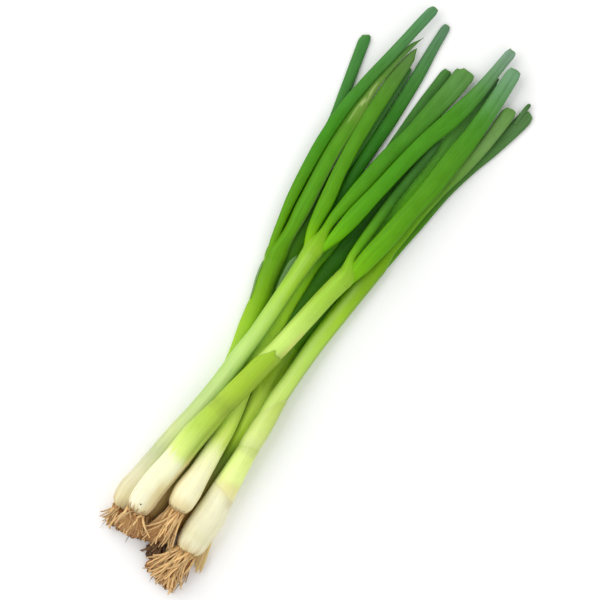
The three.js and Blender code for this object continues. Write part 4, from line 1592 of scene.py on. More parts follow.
STEM_ROWS: dict[str, tuple[Row, ...]] = {
    "left": (
        (-162, -25.5, 6.5, 7, 7), (-160, -25.5, 6.5, 11.5, 11.5), (-156, -25.7, 6.8, 14.6, 14.2),
        (-150, -25.9, 7.0, 15.2, 14.8), (-142, -24.6, 6.9, 14.8, 14.6), (-130, -22.8, 7.1, 14.4, 14.2),
        (-110, -20.3, 8.2, 13.4, 13.2), (-100, -18.7, 10.2, 12.8, 12.6), (-90, -16.9, 12.3, 12.2, 12),
        (-70, -14.2, 13.9, 11.6, 11.4), (-45, -12.4, 14.4, 11, 10.8), (-30, -11, 14.6, 10.4, 10.3),
        (0, -10, 14.2, 10.2, 10), (20, -9.3, 13.4, 11, 9.6), (34, -9, 13, 13, 8.6), (43, -8, 12.8, 12, 6.4),
    ),
    "front": (
        (-160, -15.9, 20.1, 7, 7), (-158, -15.9, 20.1, 12, 12), (-154, -15.9, 20.3, 15.6, 15.4),
        (-149, -15.8, 20.4, 16.5, 16.3), (-140, -15.2, 20.4, 16.5, 16.3), (-120, -12.2, 20.8, 15.6, 15.4),
        (-105, -10.6, 21.8, 15.8, 15.4), (-90, -7.8, 22.8, 14.5, 14.3), (-80, -5.7, 22.5, 13.3, 13.2),
        (-60, -1.3, 21.6, 12.4, 12), (-50, 0.8, 21, 12, 12), (-30, 5, 19.6, 11.7, 11.7),
        (-10, 8.6, 17.8, 11.8, 11.6), (10, 12.3, 16.4, 11.8, 11.2), (28, 16.4, 15.4, 12.6, 10),
        (38, 18.4, 15, 13.4, 7),
    ),
    "middle": (
        (-146, 4.2, 17.1, 7, 7), (-144, 4.2, 17.1, 12, 12), (-140, 4.1, 17.4, 15.6, 15.4),
        (-133, 3.9, 17.8, 16.6, 16.4), (-126, 4, 17.5, 15.2, 15), (-118, 4.2, 16.8, 13.3, 13.1),
        (-100, 3.9, 15.4, 11.8, 11.7), (-90, 3.5, 14, 11.4, 11.3), (-80, 2.3, 11.8, 11, 10.9),
        (-70, 0.6, 9.8, 10.8, 10.4), (-60, -1.4, 8.4, 10.6, 10), (-45, -4.4, 6.6, 10, 9.4),
        (-30, -6, 5.2, 10.8, 8.8), (-20, -4.9, 4.9, 11, 8.8), (0, -4.7, 4.8, 9, 8.8),
        (20, -5.1, 4.8, 9.4, 8.6), (32, -5.2, 4.4, 10.6, 7),
    ),
    "right": (
        (-165, 22, 8.4, 8, 8), (-163, 22, 8.4, 13, 13), (-158, 22, 8.65, 18.5, 18),
        (-150, 22, 9.25, 19.7, 19.3), (-140, 22.6, 9.15, 19.7, 19), (-130, 22.4, 9.9, 17.7, 17),
        (-120, 21.8, 11, 16.1, 15.1), (-105, 21.4, 12.3, 13.9, 12.9), (-90, 21, 12.9, 12.5, 12.3),
        (-70, 20.3, 13, 12, 11.8), (-60, 19.8, 12.7, 11.5, 11.4), (-40, 20.7, 10.8, 10.4, 10.4),
        (-20, 21.6, 8, 11, 10.6), (0, 23.5, 6, 11.5, 11), (20, 25.6, 5.6, 12, 11),
        (40, 28, 5.4, 12.4, 10.6), (52, 29.8, 5.2, 13, 8),
    ),
    "outer": (
        (-158, -8.2, 5.9, 6.5, 6.5), (-156, -8.2, 5.9, 10, 10), (-150, -8.1, 6, 12.8, 12.6),
        (-140, -8, 6.2, 13.2, 12.9), (-120, -7.6, 5.8, 12.2, 12), (-100, -7.4, 4.8, 11.4, 10),
        (-80, -9.5, 4, 11, 8.6), (-60, -12.8, 3.8, 11, 8), (-45, -15.3, 4, 11, 8.4),
        (-30, -18, 4.6, 12, 9.6), (-10, -21.3, 5, 12.2, 10.4), (0, -24, 5.1, 12.4, 10.6),
        (10, -25.6, 5.1, 12.8, 10.8), (20, -27.4, 5.2, 14, 10.6), (29, -28.6, 5.2, 14, 9),
    ),
    "under": (
        (-166, 6.5, 4.5, 6, 6), (-164, 6.5, 4.5, 8.5, 8.5), (-158, 6.8, 4.7, 10.2, 10),
        (-140, 8.3, 4.7, 10.2, 10), (-120, 10.3, 4.6, 10, 9.9), (-100, 12.3, 4.6, 9.8, 9.8),
        (-80, 11.8, 4.6, 11.4, 9.6), (-60, 10.4, 4.6, 13.4, 9.4), (-40, 9.2, 4.5, 14.6, 9.2),
        (-25, 7.5, 4.4, 17.4, 9), (-14, 7.5, 4.2, 17.8, 7.4),
    ),
}

LEAF_ROWS: dict[str, tuple[Row, ...]] = {
    "left_1": (
        (26, -11.8, 12.9, 5, 4.8), (40, -16, 11.6, 6.8, 5), (60, -18.2, 9.6, 9.4, 4.8),
        (80, -21, 7.8, 8.6, 4.6), (100, -22.3, 6.4, 8.6, 4.4), (120, -22.8, 5.6, 9.2, 4),
        (140, -22.6, 5.3, 9, 3.6), (155, -21.4, 4.8, 7, 3.2), (166, -20.3, 4.4, 3, 2.6),
    ),
    "left_2": (
        (36, -9.4, 12.8, 4.6, 4.2), (50, -9, 11.8, 6.1, 4.8), (60, -7.6, 11, 7.6, 4.8),
        (80, -4.3, 9.4, 9.6, 4.4), (100, -0.8, 8.2, 10.2, 4.2), (120, 4.2, 7.6, 10.4, 4),
        (140, 7.8, 7.2, 11.6, 3.6), (160, 11, 6.6, 12.4, 3.2), (170.5, 12, 6.2, 13, 3),
    ),
    "left_3": (
        (33, -4.6, 13.2, 4.6, 4.4), (46, -1.4, 13.6, 8.6, 5.2), (60, 1.2, 13.4, 10.4, 5),
        (80, 5, 12.6, 9.4, 4.8), (100, 8.8, 11.6, 9.5, 4.6), (120, 13.3, 10.8, 9.8, 4.4),
        (140, 19.5, 9.8, 11, 4), (160, 24.3, 8.8, 9.2, 3.6), (180, 26.9, 7.8, 7, 3.2),
        (195, 29, 7.2, 6.6, 3),
    ),
    "front_1": (
        (24, 18.4, 15.6, 6, 5.2), (40, 21.2, 15.4, 11, 5.4), (60, 25, 14.2, 12, 5.2),
        (80, 27.8, 13.2, 11.2, 5), (100, 31.2, 12.2, 12.2, 4.8), (120, 33.3, 11.2, 12.4, 4.4),
        (140, 35.5, 10.2, 11.2, 4.2), (160, 36.3, 9.2, 10.4, 3.8), (186, 36.6, 8, 9.2, 3.2),
    ),
    "front_2": (
        (24, 12.9, 14.6, 4.6, 4.4), (40, 12.8, 12.8, 5.6, 4.6), (60, 14, 10.2, 6.4, 4.4),
        (80, 15.2, 8.4, 6.2, 4), (100, 17.2, 7.2, 6, 3.6), (118, 19.6, 6.6, 5.2, 3.2),
        (128, 20.9, 6.4, 4, 2.8),
    ),
    "middle_1": (
        (24, -7.6, 4.4, 4.2, 4.4), (40, -9.8, 3.6, 7.8, 4.4), (60, -11.6, 2.8, 8.4, 4.2),
        (80, -12.6, 2.4, 7.8, 4), (100, -12.1, 2.2, 8, 3.8), (120, -11.3, 1.9, 8.2, 3.6),
        (150, -11.5, 1.5, 8, 3.4), (175, -12.6, 1.3, 6.4, 3), (188, -12.8, 1.3, 5.4, 2.8),
    ),
    "middle_2": (
        (24, -3, 4.4, 6, 4.4), (40, -2.2, 3.8, 8.2, 4.4), (60, -0.7, 2.8, 8, 4.2), (80, -1.2, 2.4, 8, 4),
        (100, -1.4, 2.2, 7.8, 3.6), (120, -0.6, 1.8, 7.8, 3.4), (140, 0.4, 1.5, 7.6, 3.2),
        (158, 1.7, 1.4, 7, 3.1), (165, 2.1, 1.4, 6.4, 3),
    ),
    "right_1": (
        (42, 28.4, 7.6, 5.4, 4.2), (55, 30, 8, 7, 4.8), (70, 31.4, 7.6, 8, 4.6), (80, 32.6, 7.4, 8, 4.4),
        (100, 36.1, 7, 8, 4.2), (120, 41, 6.6, 8.2, 4), (140, 44.7, 6, 8, 3.8), (160, 46.5, 5.2, 8.8, 3.4),
        (165, 46.8, 5, 8.4, 3.2),
    ),
    "right_2": (
        (42, 31, 2.9, 5.6, 4), (60, 33.3, 2.6, 6.6, 4.2), (80, 36.4, 2.3, 7.2, 3.8),
        (100, 39.4, 2.1, 7.2, 3.6), (120, 44.3, 1.8, 7.4, 3.4), (140, 50.6, 1.5, 7.8, 3.3),
        (160, 55.6, 1.4, 9, 3.1), (169, 57.4, 1.3, 9.2, 3),
    ),
    "outer_1": (
        (19, -31.6, 7.6, 4.4, 4.2), (35, -34.7, 7.6, 5.2, 4.8), (50, -36.9, 7.6, 6.4, 4.8),
        (70, -38.6, 7.5, 7.2, 4.6), (90, -39.4, 7.5, 7.6, 4.4), (110, -38.8, 7.6, 7.6, 4.2),
        (130, -36.2, 8.2, 7, 4), (150, -32.3, 8.8, 6.8, 3.8), (165, -29.3, 8.4, 6.8, 3.6),
        (180, -26.6, 7.4, 6.9, 3.4), (192.5, -24.2, 6.6, 6.6, 3),
    ),
    "outer_2": (
        (19, -25.4, 7.6, 5.4, 4.4), (35, -27, 7.3, 8.6, 5), (50, -28, 7, 9.8, 4.8),
        (70, -29.8, 6.2, 9.6, 4.6), (90, -31.2, 5.4, 9.8, 4.4), (110, -31.2, 5.2, 9.4, 4),
        (130, -30.6, 5.9, 6, 3.4), (150, -27.6, 6.6, 3.8, 2.8), (164, -24.6, 6, 3.2, 2.4),
        (173.5, -20.6, 5.5, 1.6, 1.4),
    ),
    "outer_3": (
        (19, -31, 2.6, 5.4, 3.8), (40, -34.2, 2.4, 6.4, 3.8), (60, -37, 2.3, 6.8, 3.8),
        (80, -39, 2.2, 7, 3.8), (100, -40, 2, 7, 3.6), (120, -43.7, 1.7, 7, 3.6),
        (140, -47.6, 1.5, 7.2, 3.4), (157.5, -51.2, 1.4, 7.3, 3.1),
    ),
    "outer_4": (
        (-4, -18.4, 2.6, 7.6, 3.8), (5, -18.8, 2.6, 11.4, 3.8), (19, -19.8, 2.6, 12, 3.8),
        (32, -20.6, 2.5, 11.4, 3.8), (45, -21.6, 2.4, 11, 3.8), (70, -21.4, 2.2, 9, 3.6),
        (95, -19.6, 1.9, 7.8, 3.4), (120, -19, 1.6, 7, 3.2), (145, -18.7, 1.4, 6, 3),
        (154, -18.3, 1.4, 4.8, 3),
    ),
    "under_1": (
        (-22, 10.2, 4.2, 13, 4.6), (0, 12.4, 3.4, 12.8, 4.8), (20, 14.4, 2.9, 11.6, 4.6),
        (40, 15, 2.6, 9, 4.4), (60, 16.8, 2.4, 8.4, 4.2), (80, 19, 2.1, 8, 3.8), (100, 21.4, 1.9, 7.8, 3.6),
        (120, 23.6, 1.9, 7.8, 3.4), (140, 26.9, 2.3, 7.4, 3.4), (160, 29.2, 2.8, 6, 3),
        (176.5, 30.5, 3.2, 3.8, 2.6),
    ),
    "under_2": (
        (-22, 3.6, 4.2, 9.6, 4.2), (0, 2.8, 3.4, 10, 4.6), (20, 4, 2.8, 10, 4.2), (40, 5.6, 2.4, 10, 4),
        (60, 8.2, 2.2, 7.8, 3.8), (80, 11.1, 2, 7.2, 3.6), (100, 14, 1.7, 6.2, 3.4), (116, 16.4, 1.5, 4, 3),
    ),
}

STEM_STOPS: dict[str, tuple[Stop, ...]] = {
    "left": (
        (-162, (216, 198, 150)), (-155, (230, 220, 176)), (-142, (230, 225, 190)), (-122, (200, 208, 160)),
        (-105, (210, 222, 158)), (-75, (192, 218, 138)), (-45, (196, 230, 130)), (0, (168, 212, 74)),
        (27, (146, 194, 56)), (40, (132, 184, 44)),
    ),
    "front": (
        (-160, (226, 208, 160)), (-153, (250, 246, 214)), (-121, (248, 250, 208)), (-114, (224, 243, 140)),
        (-105, (208, 232, 124)), (-95, (186, 216, 94)), (-84, (178, 209, 80)), (-62, (168, 203, 66)),
        (-44, (206, 238, 122)), (-25, (209, 240, 126)), (5, (170, 211, 80)), (27, (152, 199, 66)),
    ),
    "middle": (
        (-146, (240, 222, 174)), (-139, (255, 248, 208)), (-120, (255, 252, 210)), (-106, (248, 254, 190)),
        (-95, (222, 242, 126)), (-85, (213, 242, 111)), (-70, (196, 224, 104)), (-36, (214, 255, 104)),
        (-14, (204, 252, 84)), (8, (160, 220, 60)), (26, (96, 160, 40)),
    ),
    "right": (
        (-165, (226, 200, 144)), (-155, (255, 250, 204)), (-125, (255, 253, 208)), (-112, (235, 250, 162)),
        (-95, (222, 240, 142)), (-80, (210, 231, 124)), (-58, (206, 232, 122)), (-30, (186, 221, 102)),
        (0, (167, 208, 66)), (25, (131, 176, 40)), (50, (112, 164, 34)),
    ),
    # The brown tan at the low ends of this bulb and of the under bulb, tucked below the others, is partly dry
    # skin and partly painted shade
    "outer": (
        (-158, (196, 160, 104)), (-140, (206, 180, 118)), (-118, (196, 196, 110)), (-90, (170, 205, 88)),
        (-60, (172, 210, 80)), (-30, (157, 202, 56)), (-10, (126, 176, 34)), (8, (106, 160, 32)),
        (27, (98, 156, 32)),
    ),
    "under": (
        (-166, (150, 108, 64)), (-140, (170, 136, 78)), (-112, (128, 140, 62)), (-100, (128, 158, 50)),
        (-88, (200, 232, 84)), (-66, (224, 250, 112)), (-48, (190, 226, 70)), (-24, (104, 156, 30)),
    ),
}

LEAF_STOPS: dict[str, tuple[Stop, ...]] = {
    "left_1": (
        (26, (150, 202, 62)), (46, (100, 166, 20)), (80, (88, 154, 18)), (115, (84, 146, 30)),
        (160, (94, 132, 67)),
    ),
    "left_2": (
        (19, (152, 198, 62)), (30, (144, 192, 54)), (52, (94, 162, 24)), (72, (84, 154, 18)),
        (105, (71, 138, 24)), (135, (75, 137, 36)), (168, (94, 143, 70)),
    ),
    "left_3": (
        (33, (120, 192, 24)), (55, (90, 166, 0)), (92, (72, 150, 0)), (126, (72, 144, 16)),
        (160, (84, 140, 62)), (194, (130, 160, 136)),
    ),
    "front_1": (
        (24, (128, 188, 24)), (48, (100, 170, 0)), (82, (86, 154, 0)), (115, (80, 145, 22)),
        (150, (82, 142, 54)), (185, (122, 162, 126)),
    ),
    "front_2": (
        (14, (162, 205, 74)), (24, (155, 200, 68)), (34, (136, 190, 52)), (46, (100, 166, 32)),
        (82, (63, 122, 32)), (126, (58, 110, 42)),
    ),
    "middle_1": (
        (24, (96, 160, 40)), (46, (51, 129, 6)), (84, (46, 114, 22)), (120, (50, 116, 26)),
        (150, (74, 130, 60)), (186, (98, 138, 104)),
    ),
    "middle_2": (
        (10, (150, 212, 60)), (30, (92, 156, 38)), (60, (57, 119, 18)), (120, (57, 115, 30)),
        (164, (72, 126, 52)),
    ),
    "right_1": (
        (30, (126, 174, 38)), (44, (120, 170, 36)), (64, (106, 164, 30)), (100, (97, 150, 42)),
        (138, (116, 156, 84)), (163, (102, 146, 70)),
    ),
    "right_2": ((42, (104, 160, 44)), (72, (80, 135, 38)), (120, (80, 126, 58)), (168, (89, 127, 76))),
    "outer_1": (
        (19, (106, 162, 34)), (48, (92, 154, 32)), (92, (72, 142, 38)), (140, (76, 134, 56)),
        (191, (94, 142, 98)),
    ),
    "outer_2": (
        (5, (106, 160, 32)), (24, (99, 157, 32)), (48, (92, 157, 33)), (85, (88, 155, 30)),
        (118, (94, 146, 40)), (140, (98, 148, 54)), (172, (88, 135, 66)),
    ),
    "outer_3": ((19, (92, 148, 38)), (62, (74, 133, 48)), (156, (74, 133, 66))),
    "outer_4": ((19, (80, 134, 36)), (62, (58, 114, 32)), (152, (64, 116, 54))),
    "under_1": (
        (-34, (104, 154, 32)), (-10, (84, 138, 34)), (20, (70, 130, 36)), (85, (136, 228, 70)),
        (130, (104, 172, 70)), (172, (88, 136, 80)),
    ),
    "under_2": ((-31, (90, 142, 30)), (20, (58, 120, 16)), (52, (46, 114, 6)), (114, (50, 104, 26))),
}

# The leaf that carries on from each stem, and the heights between which it takes over the stem's section
CARRIED_ON: dict[str, tuple[str, float, float]] = {
    "left": ("left_2", 29, 46),
    "front": ("front_2", 24, 38),
    "middle": ("middle_2", 20, 34),
    "right": ("right_1", 40, 56),
    "outer": ("outer_2", 15, 33),
    "under": ("under_1", -24, -8),
}

LEAF_FOLDS: dict[str, tuple[tuple[Row, ...], ...]] = {
    "right_2": (
        (
            (158, 53.2, 2.8, 2.8, 1.8), (168, 54.0, 2.9, 3.2, 1.9), (172, 54.5, 2.9, 3.0, 1.8),
            (173.4, 54.8, 2.9, 1.9, 1.2),
        ),
    ),
}

LEAF_CUTS: dict[str, Lip] = {
    "outer_3": ((0, 0.4), (60, 0), (120, 1), (180, 2.8), (250, 1.6), (360, 0.4)),
    "outer_1": ((0, 0.5), (60, 0), (120, 0.4), (180, 1.6), (260, 1), (360, 0.5)),
    "left_1": ((0, 5), (60, 2.5), (120, 0), (180, 1), (270, 2.5), (360, 5)),
    "outer_4": ((0, 0.4), (70, 0), (110, 2), (180, 3), (250, 2), (290, 0.6), (360, 0.4)),
    "left_2": (
        (0, 1), (30, 0.2), (110, 0), (120, 0.4), (128, 2), (180, 2.6), (230, 2), (300, 0.6), (360, 1),
    ),
    "front_1": ((0, 1.8), (35, 0.3), (90, 0), (145, 0.3), (180, 1.8), (270, 0.6), (360, 1.8)),
    "right_1": ((0, 1), (50, 0), (120, 0.5), (180, 2.2), (270, 1), (360, 1)),
    "right_2": ((0, 3), (40, 1), (90, 0), (180, 0.8), (270, 1), (360, 3)),
}

# Leaves that end in a point; the others are cut
POINTED = {"outer_2", "under_1", "under_2", "front_2"}

# Dark patches are painted shade, down the sides where the stems turn from the light or lie against each
# other; pale ones are painted highlights, but the outer stem's is its pale sheath margin; warm ones are a tan
# of the skin
STEM_PATCHES: dict[str, tuple[Patch, ...]] = {
    "left": (
        Patch(DARK, (-90, 20), 180, 60, 0.3, 20), Patch(DARK, (-110, 26), 0, 46, 0.6, 20),
        Patch(PALE, (-100, 22), 94, 26, 0.07, 16), Patch(DARK, (-60, 22), 150, 24, 0.3, 16),
        Patch(WARM, (-158, -140), 10, 60, 0.35, 10),
    ),
    "front": (
        Patch(WARM, (-158, -116), 8, 48, 0.55, 8), Patch(WARM, (-157, -141), 36, 52, 0.55, 14),
        Patch(WARM, (-32, -18), 20, 45, 0.25, 6), Patch(DARK, (-40, 24), 176, 62, 0.4, 8),
        Patch(DARK, (-112, -40), 10, 74, 0.6, 14),
    ),
    "middle": (
        Patch(WARM, (-146, -140), 80, 90, 0.35, 5), Patch(WARM, (-142, -124), 165, 40, 0.35, 6),
        Patch(DARK, (-98, -80), 20, 60, 0.35, 8),
    ),
    "right": (
        Patch(WARM, (-164, -150), 345, 56, 0.35, 8), Patch(WARM, (-121, -116), 60, 130, 0.35, 6),
        Patch(DARK, (-112, 40), 178, 44, 0.4, 14), Patch(PALE, (-110, 20), 105, 30, 0.09, 14),
        Patch(DARK, (-60, 40), 5, 45, 0.45, 20),
    ),
    "outer": (
        Patch(PALE, (-12, 10), 170, 26, 0.5, 6), Patch(DARK, (-60, 10), 20, 60, 0.4, 14),
    ),
    "under": (
        Patch(DARK, (-160, -30), 180, 80, 0.72, 8), Patch(DARK, (-52, -34), 90, 120, 0.3, 8),
        Patch(DARK, (-96, -24), 0, 40, 0.25, 10),
    ),
}

# On outer_2 the long pale strip up its right side is a painted highlight, the short pale bands are cracks and
# the warm patch a tan round them; on right_2 the dark patch is painted shade on the folded tip
LEAF_PATCHES: dict[str, tuple[Patch, ...]] = {
    "outer_2": (
        Patch(PALE, (30, 150), 12, 30, 0.2, 16), Patch(WARM, (114, 134), 62, 60, 0.07, 10),
        Patch(PALE, (120, 122.5), 88, 13, 0.5, 2.5), Patch(PALE, (122.5, 128), 66, 11, 0.5, 2.5),
        Patch(PALE, (128, 134), 80, 10, 0.5, 2.5), Patch(PALE, (108, 120), 104, 9, 0.3, 4),
    ),
    "right_2": (Patch(DARK, (172, 176), 90, 300, 0.4, 6),),
}


def stem_finishes() -> dict[str, PlantFinish]:
    """Gives the finish of each stem.

    Returns:
        The finishes, by the stem's name.
    """
    # The dark colour of each stem is that of its painted shade
    plain_tone, plain_dark = 0.94, (105, 145, 40)
    tones = {"right": 1.0}
    darks = {"left": (128, 174, 78), "front": (140, 165, 55), "middle": (175, 200, 80)}
    darks["under"] = (66, 102, 14)
    finishes = {}
    for name, stops in STEM_STOPS.items():
        dark, tone = darks.get(name, plain_dark), tones.get(name, plain_tone)
        finishes[name] = PlantFinish(f"stem_skin_{name}", stops, dark=dark, tone=tone)
    return finishes


def leaf_finish(name: str, stops: tuple[Stop, ...]) -> PlantFinish:
    """Gives the finish of one leaf.

    Args:
        name: The leaf's name.
        stops: Its colours along its length.

    Returns:
        The finish.
    """
    return PlantFinish(
        f"leaf_skin_{name}",
        stops,
        # The pale colour serves pale marks and painted highlights, the dark one painted shade
        pale=(206, 218, 150),
        dark=(40, 90, 20),
        inside=(120, 156, 70),
        rim=(92, 132, 66),
        bloom_amount=0.05,
        vein_contrast=0.3,
        roughness=0.42,
        gloss=0.13,
        saturation=1.1,
        tone=0.93,
        vein_bump=0.35,
        glow=0.1,
        glow_depth=0.0015,
        fade=0.01,
    )


# Its dark patch is painted shade down its right side, and its dark olive rim colour, which its specks also
# take, is painted shadow along the lip
FRONT_SHEATH = Sleeve(
    -84,
    (
        *((0, -36), (30, -35.5), (76, -36.2), (96, -34.2), (108, -37)),
        *((130, -40.5), (180, -45.5), (270, -46), (360, -36)),
    ),
    0.55,
    PlantFinish(
        "sheath_front",
        ((-160, (178, 209, 80)), (-84, (178, 209, 80)), (-62, (170, 205, 66)), (-36, (160, 200, 62))),
        dark=(140, 165, 55),
        rim=(126, 152, 58),
    ),
    (Patch(DARK, (-112, -40), 10, 74, 0.6, 14),),
)

# Its dark patches are painted shade down both sides, and its pale patch is a painted highlight
RIGHT_SHEATH = Sleeve(
    -95,
    ((0, -55), (60, -57), (110, -66), (180, -78), (270, -70), (360, -55)),
    0.5,
    PlantFinish(
        "sheath_right",
        (
            *((-165, (235, 250, 162)), (-112, (235, 250, 162)), (-95, (233, 248, 157))),
            *((-80, (218, 239, 136)), (-56, (189, 216, 101))),
        ),
        dark=(150, 170, 70),
        rim=(216, 222, 158),
        tone=1.0,
    ),
    (
        Patch(DARK, (-78, -58), 0, 50, 0.4, 12),
        Patch(DARK, (-112, -58), 178, 44, 0.4, 14),
        Patch(PALE, (-110, -52), 105, 30, 0.09, 14),
    ),
)

RIGHT_WHITE_LAYER = Sleeve(
    -161,
    ((0, -124), (60, -122.5), (90, -120), (140, -118.5), (200, -120), (270, -126), (360, -124)),
    0.14,
    PlantFinish(
        "white_layer_right",
        ((-165, (226, 200, 144)), (-155, (255, 250, 204)), (-125, (255, 253, 208)), (-118, (254, 248, 194))),
        rim=(238, 230, 170),
        tone=1.0,
    ),
    (Patch(WARM, (-126, -119), 20, 60, 0.3, 4), Patch(WARM, (-164, -150), 345, 56, 0.35, 8)),
    thinned=0.1,
)

SLEEVES: dict[str, tuple[Sleeve, ...]] = {
    "front": (FRONT_SHEATH,),
    "right": (RIGHT_SHEATH, RIGHT_WHITE_LAYER),
}

# The leaves in the darker green slot
DARK_LEAVES = {"middle_1", "middle_2", "right_2", "outer_3", "outer_4", "under_1", "under_2"}


def make_tufts() -> list[RootTuft]:
    """Lists the root tufts.

    Returns:
        The tufts, ready to be built.
    """
    rows = STEM_ROWS
    dark = {"finish": BROWN_ROOTS, "plate_finish": DARK_MAT, "mat_finish": DARK_MAT, "slot": Slot.DARK_ROOT}
    return [
        RootTuft("left", rows["left"], 30, 14.5, 3, (-22, 24), (-10, 20), 11),
        RootTuft("front", rows["front"], 58, 15, 6, (-42, 42), (-26, 16), 23, spread=6.2),
        RootTuft("middle", rows["middle"], 58, 26.5, 7, (-26, 18), (-4, 14), 37, spread=5.6, shortest=0.66),
        RootTuft("right", rows["right"], 96, 26, 5, (-36, 10), (-4, 26), 41, spread=7.0, shortest=0.66),
        RootTuft("outer", rows["outer"], 28, 16, 3, (-20, 22), (-10, 22), 53, spread=4.6),
        RootTuft("under", rows["under"], 24, 14, 2, (-24, 20), (-10, 18), 67, spread=3.8, **dark),
    ]


def make_leaf(name: str, seed: int) -> Leaf:
    """Sets up one leaf.

    Args:
        name: Its name, which starts with its stem's.
        seed: The seed of its unevenness.

    Returns:
        The leaf, ready to be built.
    """
    stem = name.rsplit("_", 1)[0]
    carried, low, high = CARRIED_ON[stem]
    slot = Slot.DARK_LEAF if name in DARK_LEAVES else Slot.LEAF
    finish = leaf_finish(name, LEAF_STOPS[name])
    patches = LEAF_PATCHES.get(name, ())
    rows = rooted_rows(STEM_ROWS[stem], LEAF_ROWS[name])
    leaf = Leaf(name, rows, finish, seed, slot, patches, name in POINTED)
    leaf.folds = LEAF_FOLDS.get(name, ())
    leaf.cut = LEAF_CUTS.get(name, leaf.cut)
    if name == carried:
        leaf.rows = carried_rows(STEM_ROWS[stem], LEAF_ROWS[name], low, high)
        leaf.proud, leaf.lap = 0.06, low
        # A carried-on leaf takes its stem's patches and the colours for them, so the painted shade and
        # highlights run on from the stem
        leaf.patches = (*patches, *STEM_PATCHES[stem])
        skin = stem_finishes()[stem]
        looks = {key: getattr(skin, key) for key in ("warm", "dark", "tone", "saturation")}
        leaf.finish = replace(finish, **looks)
    return leaf


DRY_SKIN = PlantFinish(
    "dry_skin",
    ((-170, (210, 178, 128)), (-150, (228, 204, 152)), (-118, (226, 212, 150))),
    vein_contrast=0.16,
    roughness=0.6,
    glow=0.3,
)
MEMBRANE = PlantFinish(
    "membrane",
    ((-165, (160, 184, 120)), (20, (112, 156, 88))),
    vein_contrast=0.16,
    roughness=0.5,
    glow=0.3,
)
SPECK = PlantFinish("dark_speck", ((-165, (40, 30, 20)), (20, (50, 38, 24))), roughness=0.8, gloss=0.05)


def make_skins() -> list[SkinSet]:
    """Lists the dry skins and membranes.

    Returns:
        The sets of skins, one for each stem that has any.
    """
    front, middle, right = (STEM_ROWS[name] for name in ("front", "middle", "right"))
    tan_rows = ((-158, -40, 36, 0.1), (-150, -44, 30, 0.2), (-136, -40, 24, 0.2), (-116, -24, 4, 0.08))
    tan_skin = Flake(tan_rows, 3.0)
    speck = Flake(((-153.5, 83, 87, 0.04), (-152.7, 82, 88, 0.04)), 0.6, 0.2, 1)
    flaps = (
        (
            (-170.0, 35.6, 4.6, 0.7, 0.4),
            (-167.5, 35.1, 4.8, 2.2, 0.6),
            (-160, 33.3, 6.0, 3.0, 0.7),
            (-153, 31.8, 7.6, 2.4, 0.6),
            (-147, 31.2, 8.8, 0.6, 0.4),
        ),
        (
            (-171.0, 33.6, 4.8, 0.9, 0.4),
            (-168.5, 33.2, 5.0, 2.6, 0.6),
            (-161, 31.6, 6.4, 3.4, 0.7),
            (-154, 30.6, 8.0, 1.8, 0.5),
        ),
        (
            (-168.4, 31.2, 5.4, 0.8, 0.4),
            (-166, 31.0, 5.6, 2.8, 0.6),
            (-160, 29.8, 7.0, 3.2, 0.7),
            (-156, 29.2, 8.4, 1.4, 0.5),
        ),
    )
    beside_left = (
        (-2, -15.6, 9.6, 0.6, 0.3),
        (8, -16.4, 9.4, 2.4, 0.3),
        (16, -16.6, 9.2, 3.0, 0.3),
        (22.5, -15.4, 9.6, 0.5, 0.3),
    )
    on_left = Flake(((-2, 186, 192, 0.1), (10, 180, 196, 0.2), (20, 184, 190, 0.1)))
    outer_rows = ((-14, 148, 158, 0.1), (-5, 146, 170, 0.15), (4, 144, 174, 0.15), (9, 150, 164, 0.1))
    return [
        SkinSet("front", (tan_skin, speck, *bulb_fringe(front, (10, 170), 15, 5.5, 3)), (DRY_SKIN, SPECK)),
        SkinSet("middle", bulb_fringe(middle, (15, 165), 13, 3.2, 4), (DRY_SKIN,)),
        SkinSet("right", bulb_fringe(right, (10, 170), 15, 3.6, 5), (DRY_SKIN,), flaps),
        SkinSet("left", (on_left,), (MEMBRANE,), (beside_left,)),
        SkinSet("outer", (Flake(outer_rows, 2.0),), (MEMBRANE,)),
    ]


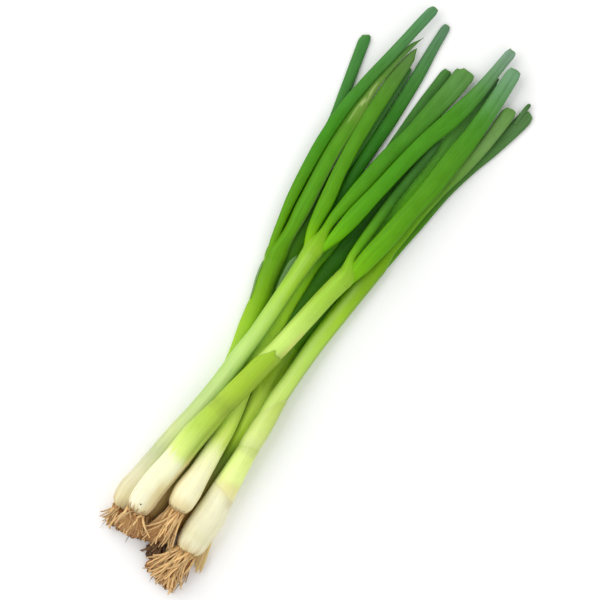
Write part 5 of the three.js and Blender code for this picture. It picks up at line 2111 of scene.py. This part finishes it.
@dataclass
class Studio:
    """The floor, the lights and the camera."""

    azimuth: float = 32.0
    elevation: float = 87.0
    distance: float = 2.4
    lens: float = 241.0
    target: tuple[float, float, float] = (-0.0035, -0.0019, 0.010)
    floor_size: float = 6.0
    # How far the floor lies under the bunch, so that no faces coincide (m)
    floor_gap: float = 0.00005
    floor_tones: tuple[Colour, Colour] = ((249, 249, 248), (252, 252, 252))
    # Power and size of the lights, and their distance from the bunch (W, m)
    key_power: float = 9.5
    key_size: float = 1.3
    fill_power: float = 2.5
    fill_size: float = 1.2
    light_distance: float = 1.3
    world_strength: float = 0.73

    def build(self) -> None:
        """Builds the floor, the lights and the camera."""
        self.build_floor()
        self.build_lights()
        self.build_camera()

    def build_floor(self) -> None:
        """Lays a plain pale floor just under the bunch."""
        half = self.floor_size / 2
        mesh = bpy.data.meshes.new("floor")
        corners = [(-half, -half), (half, -half), (half, half), (-half, half)]
        mesh.from_pydata([(x, y, -self.floor_gap) for x, y in corners], [], [(0, 1, 2, 3)])
        material, graph, shader = new_material("floor_paint")
        where = graph.add("ShaderNodeTexCoord").outputs["Object"]
        tone = graph.rescale(graph.noise(where, 3.0, 2.0), 0.3, 0.7)
        dull, bright = (linear(colour) for colour in self.floor_tones)
        graph.feed(shader.inputs["Base Color"], graph.mix(tone, dull, bright))
        shader.inputs["Roughness"].default_value = 0.9
        shader.inputs["Specular IOR Level"].default_value = 0.1
        mesh.materials.append(material)
        floor = bpy.data.objects.new("floor", mesh)
        bpy.context.scene.collection.objects.link(floor)

    def area_light(self, name: str, direction: Vector, power: float, size: float) -> None:
        """Adds a large soft light that faces the bunch.

        Args:
            name: The light's name.
            direction: Where it stands, as seen from the bunch.
            power: Its power, in watts.
            size: The length of its sides, in metres.
        """
        data = bpy.data.lights.new(name, "AREA")
        data.energy = power
        data.size = size
        light = bpy.data.objects.new(name, data)
        light.location = direction.normalized() * self.light_distance
        light.rotation_euler = (-direction).to_track_quat("-Z", "Y").to_euler()
        bpy.context.scene.collection.objects.link(light)

    def build_lights(self) -> None:
        """Adds the key light at the upper left of the view, a weak fill, and a bright even surround."""
        turn = math.radians(self.azimuth)
        right = Vector((math.cos(turn), math.sin(turn), 0))
        up = Vector((-math.sin(turn), math.cos(turn), 0))
        key_side = -right * 0.75 + up * 0.55 + Vector((0, 0, 1.0))
        fill_side = right * 0.6 - up * 0.6 + Vector((0, 0, 1.2))
        self.area_light("key_light", key_side, self.key_power, self.key_size)
        self.area_light("fill_light", fill_side, self.fill_power, self.fill_size)
        world = bpy.data.worlds.new("surround")
        world.use_nodes = True
        background = world.node_tree.nodes["Background"]
        background.inputs[0].default_value = (1.0, 1.0, 1.0, 1.0)
        background.inputs[1].default_value = self.world_strength
        bpy.context.scene.world = world
        bpy.context.scene.view_settings.view_transform = "Standard"

    def build_camera(self) -> None:
        """Sets the camera at the photograph's angle."""
        turn, height = math.radians(self.azimuth), math.radians(self.elevation)
        level = math.cos(height)
        back = Vector((math.sin(turn) * level, -math.cos(turn) * level, math.sin(height)))
        data = bpy.data.cameras.new("camera")
        data.lens = self.lens
        data.sensor_width = 36.0
        camera = bpy.data.objects.new("camera", data)
        camera.location = Vector(self.target) + back * self.distance
        camera.rotation_mode = "QUATERNION"
        camera.rotation_quaternion = (-back).to_track_quat("-Z", "Y")
        bpy.context.scene.collection.objects.link(camera)
        bpy.context.scene.camera = camera


def main() -> None:
    """Builds the bunch and its surroundings."""
    Studio().build()
    groups = PlantGroups()
    finishes = stem_finishes()
    for seed, (name, rows) in enumerate(STEM_ROWS.items(), start=STEM_SEEDS):
        top = CARRIED_ON[name][1] - 1
        stem = Stem(name, rows, finishes[name], seed, SLEEVES.get(name, ()), STEM_PATCHES[name], top)
        stem.build(groups)
    for seed, name in enumerate(LEAF_ROWS, start=LEAF_SEEDS):
        make_leaf(name, seed).build(groups)
    for skins in make_skins():
        skins.build(groups)
    geometry = RootGeometry()
    for tuft in make_tufts():
        tuft.build(geometry)


if __name__ == "__main__":
    main()
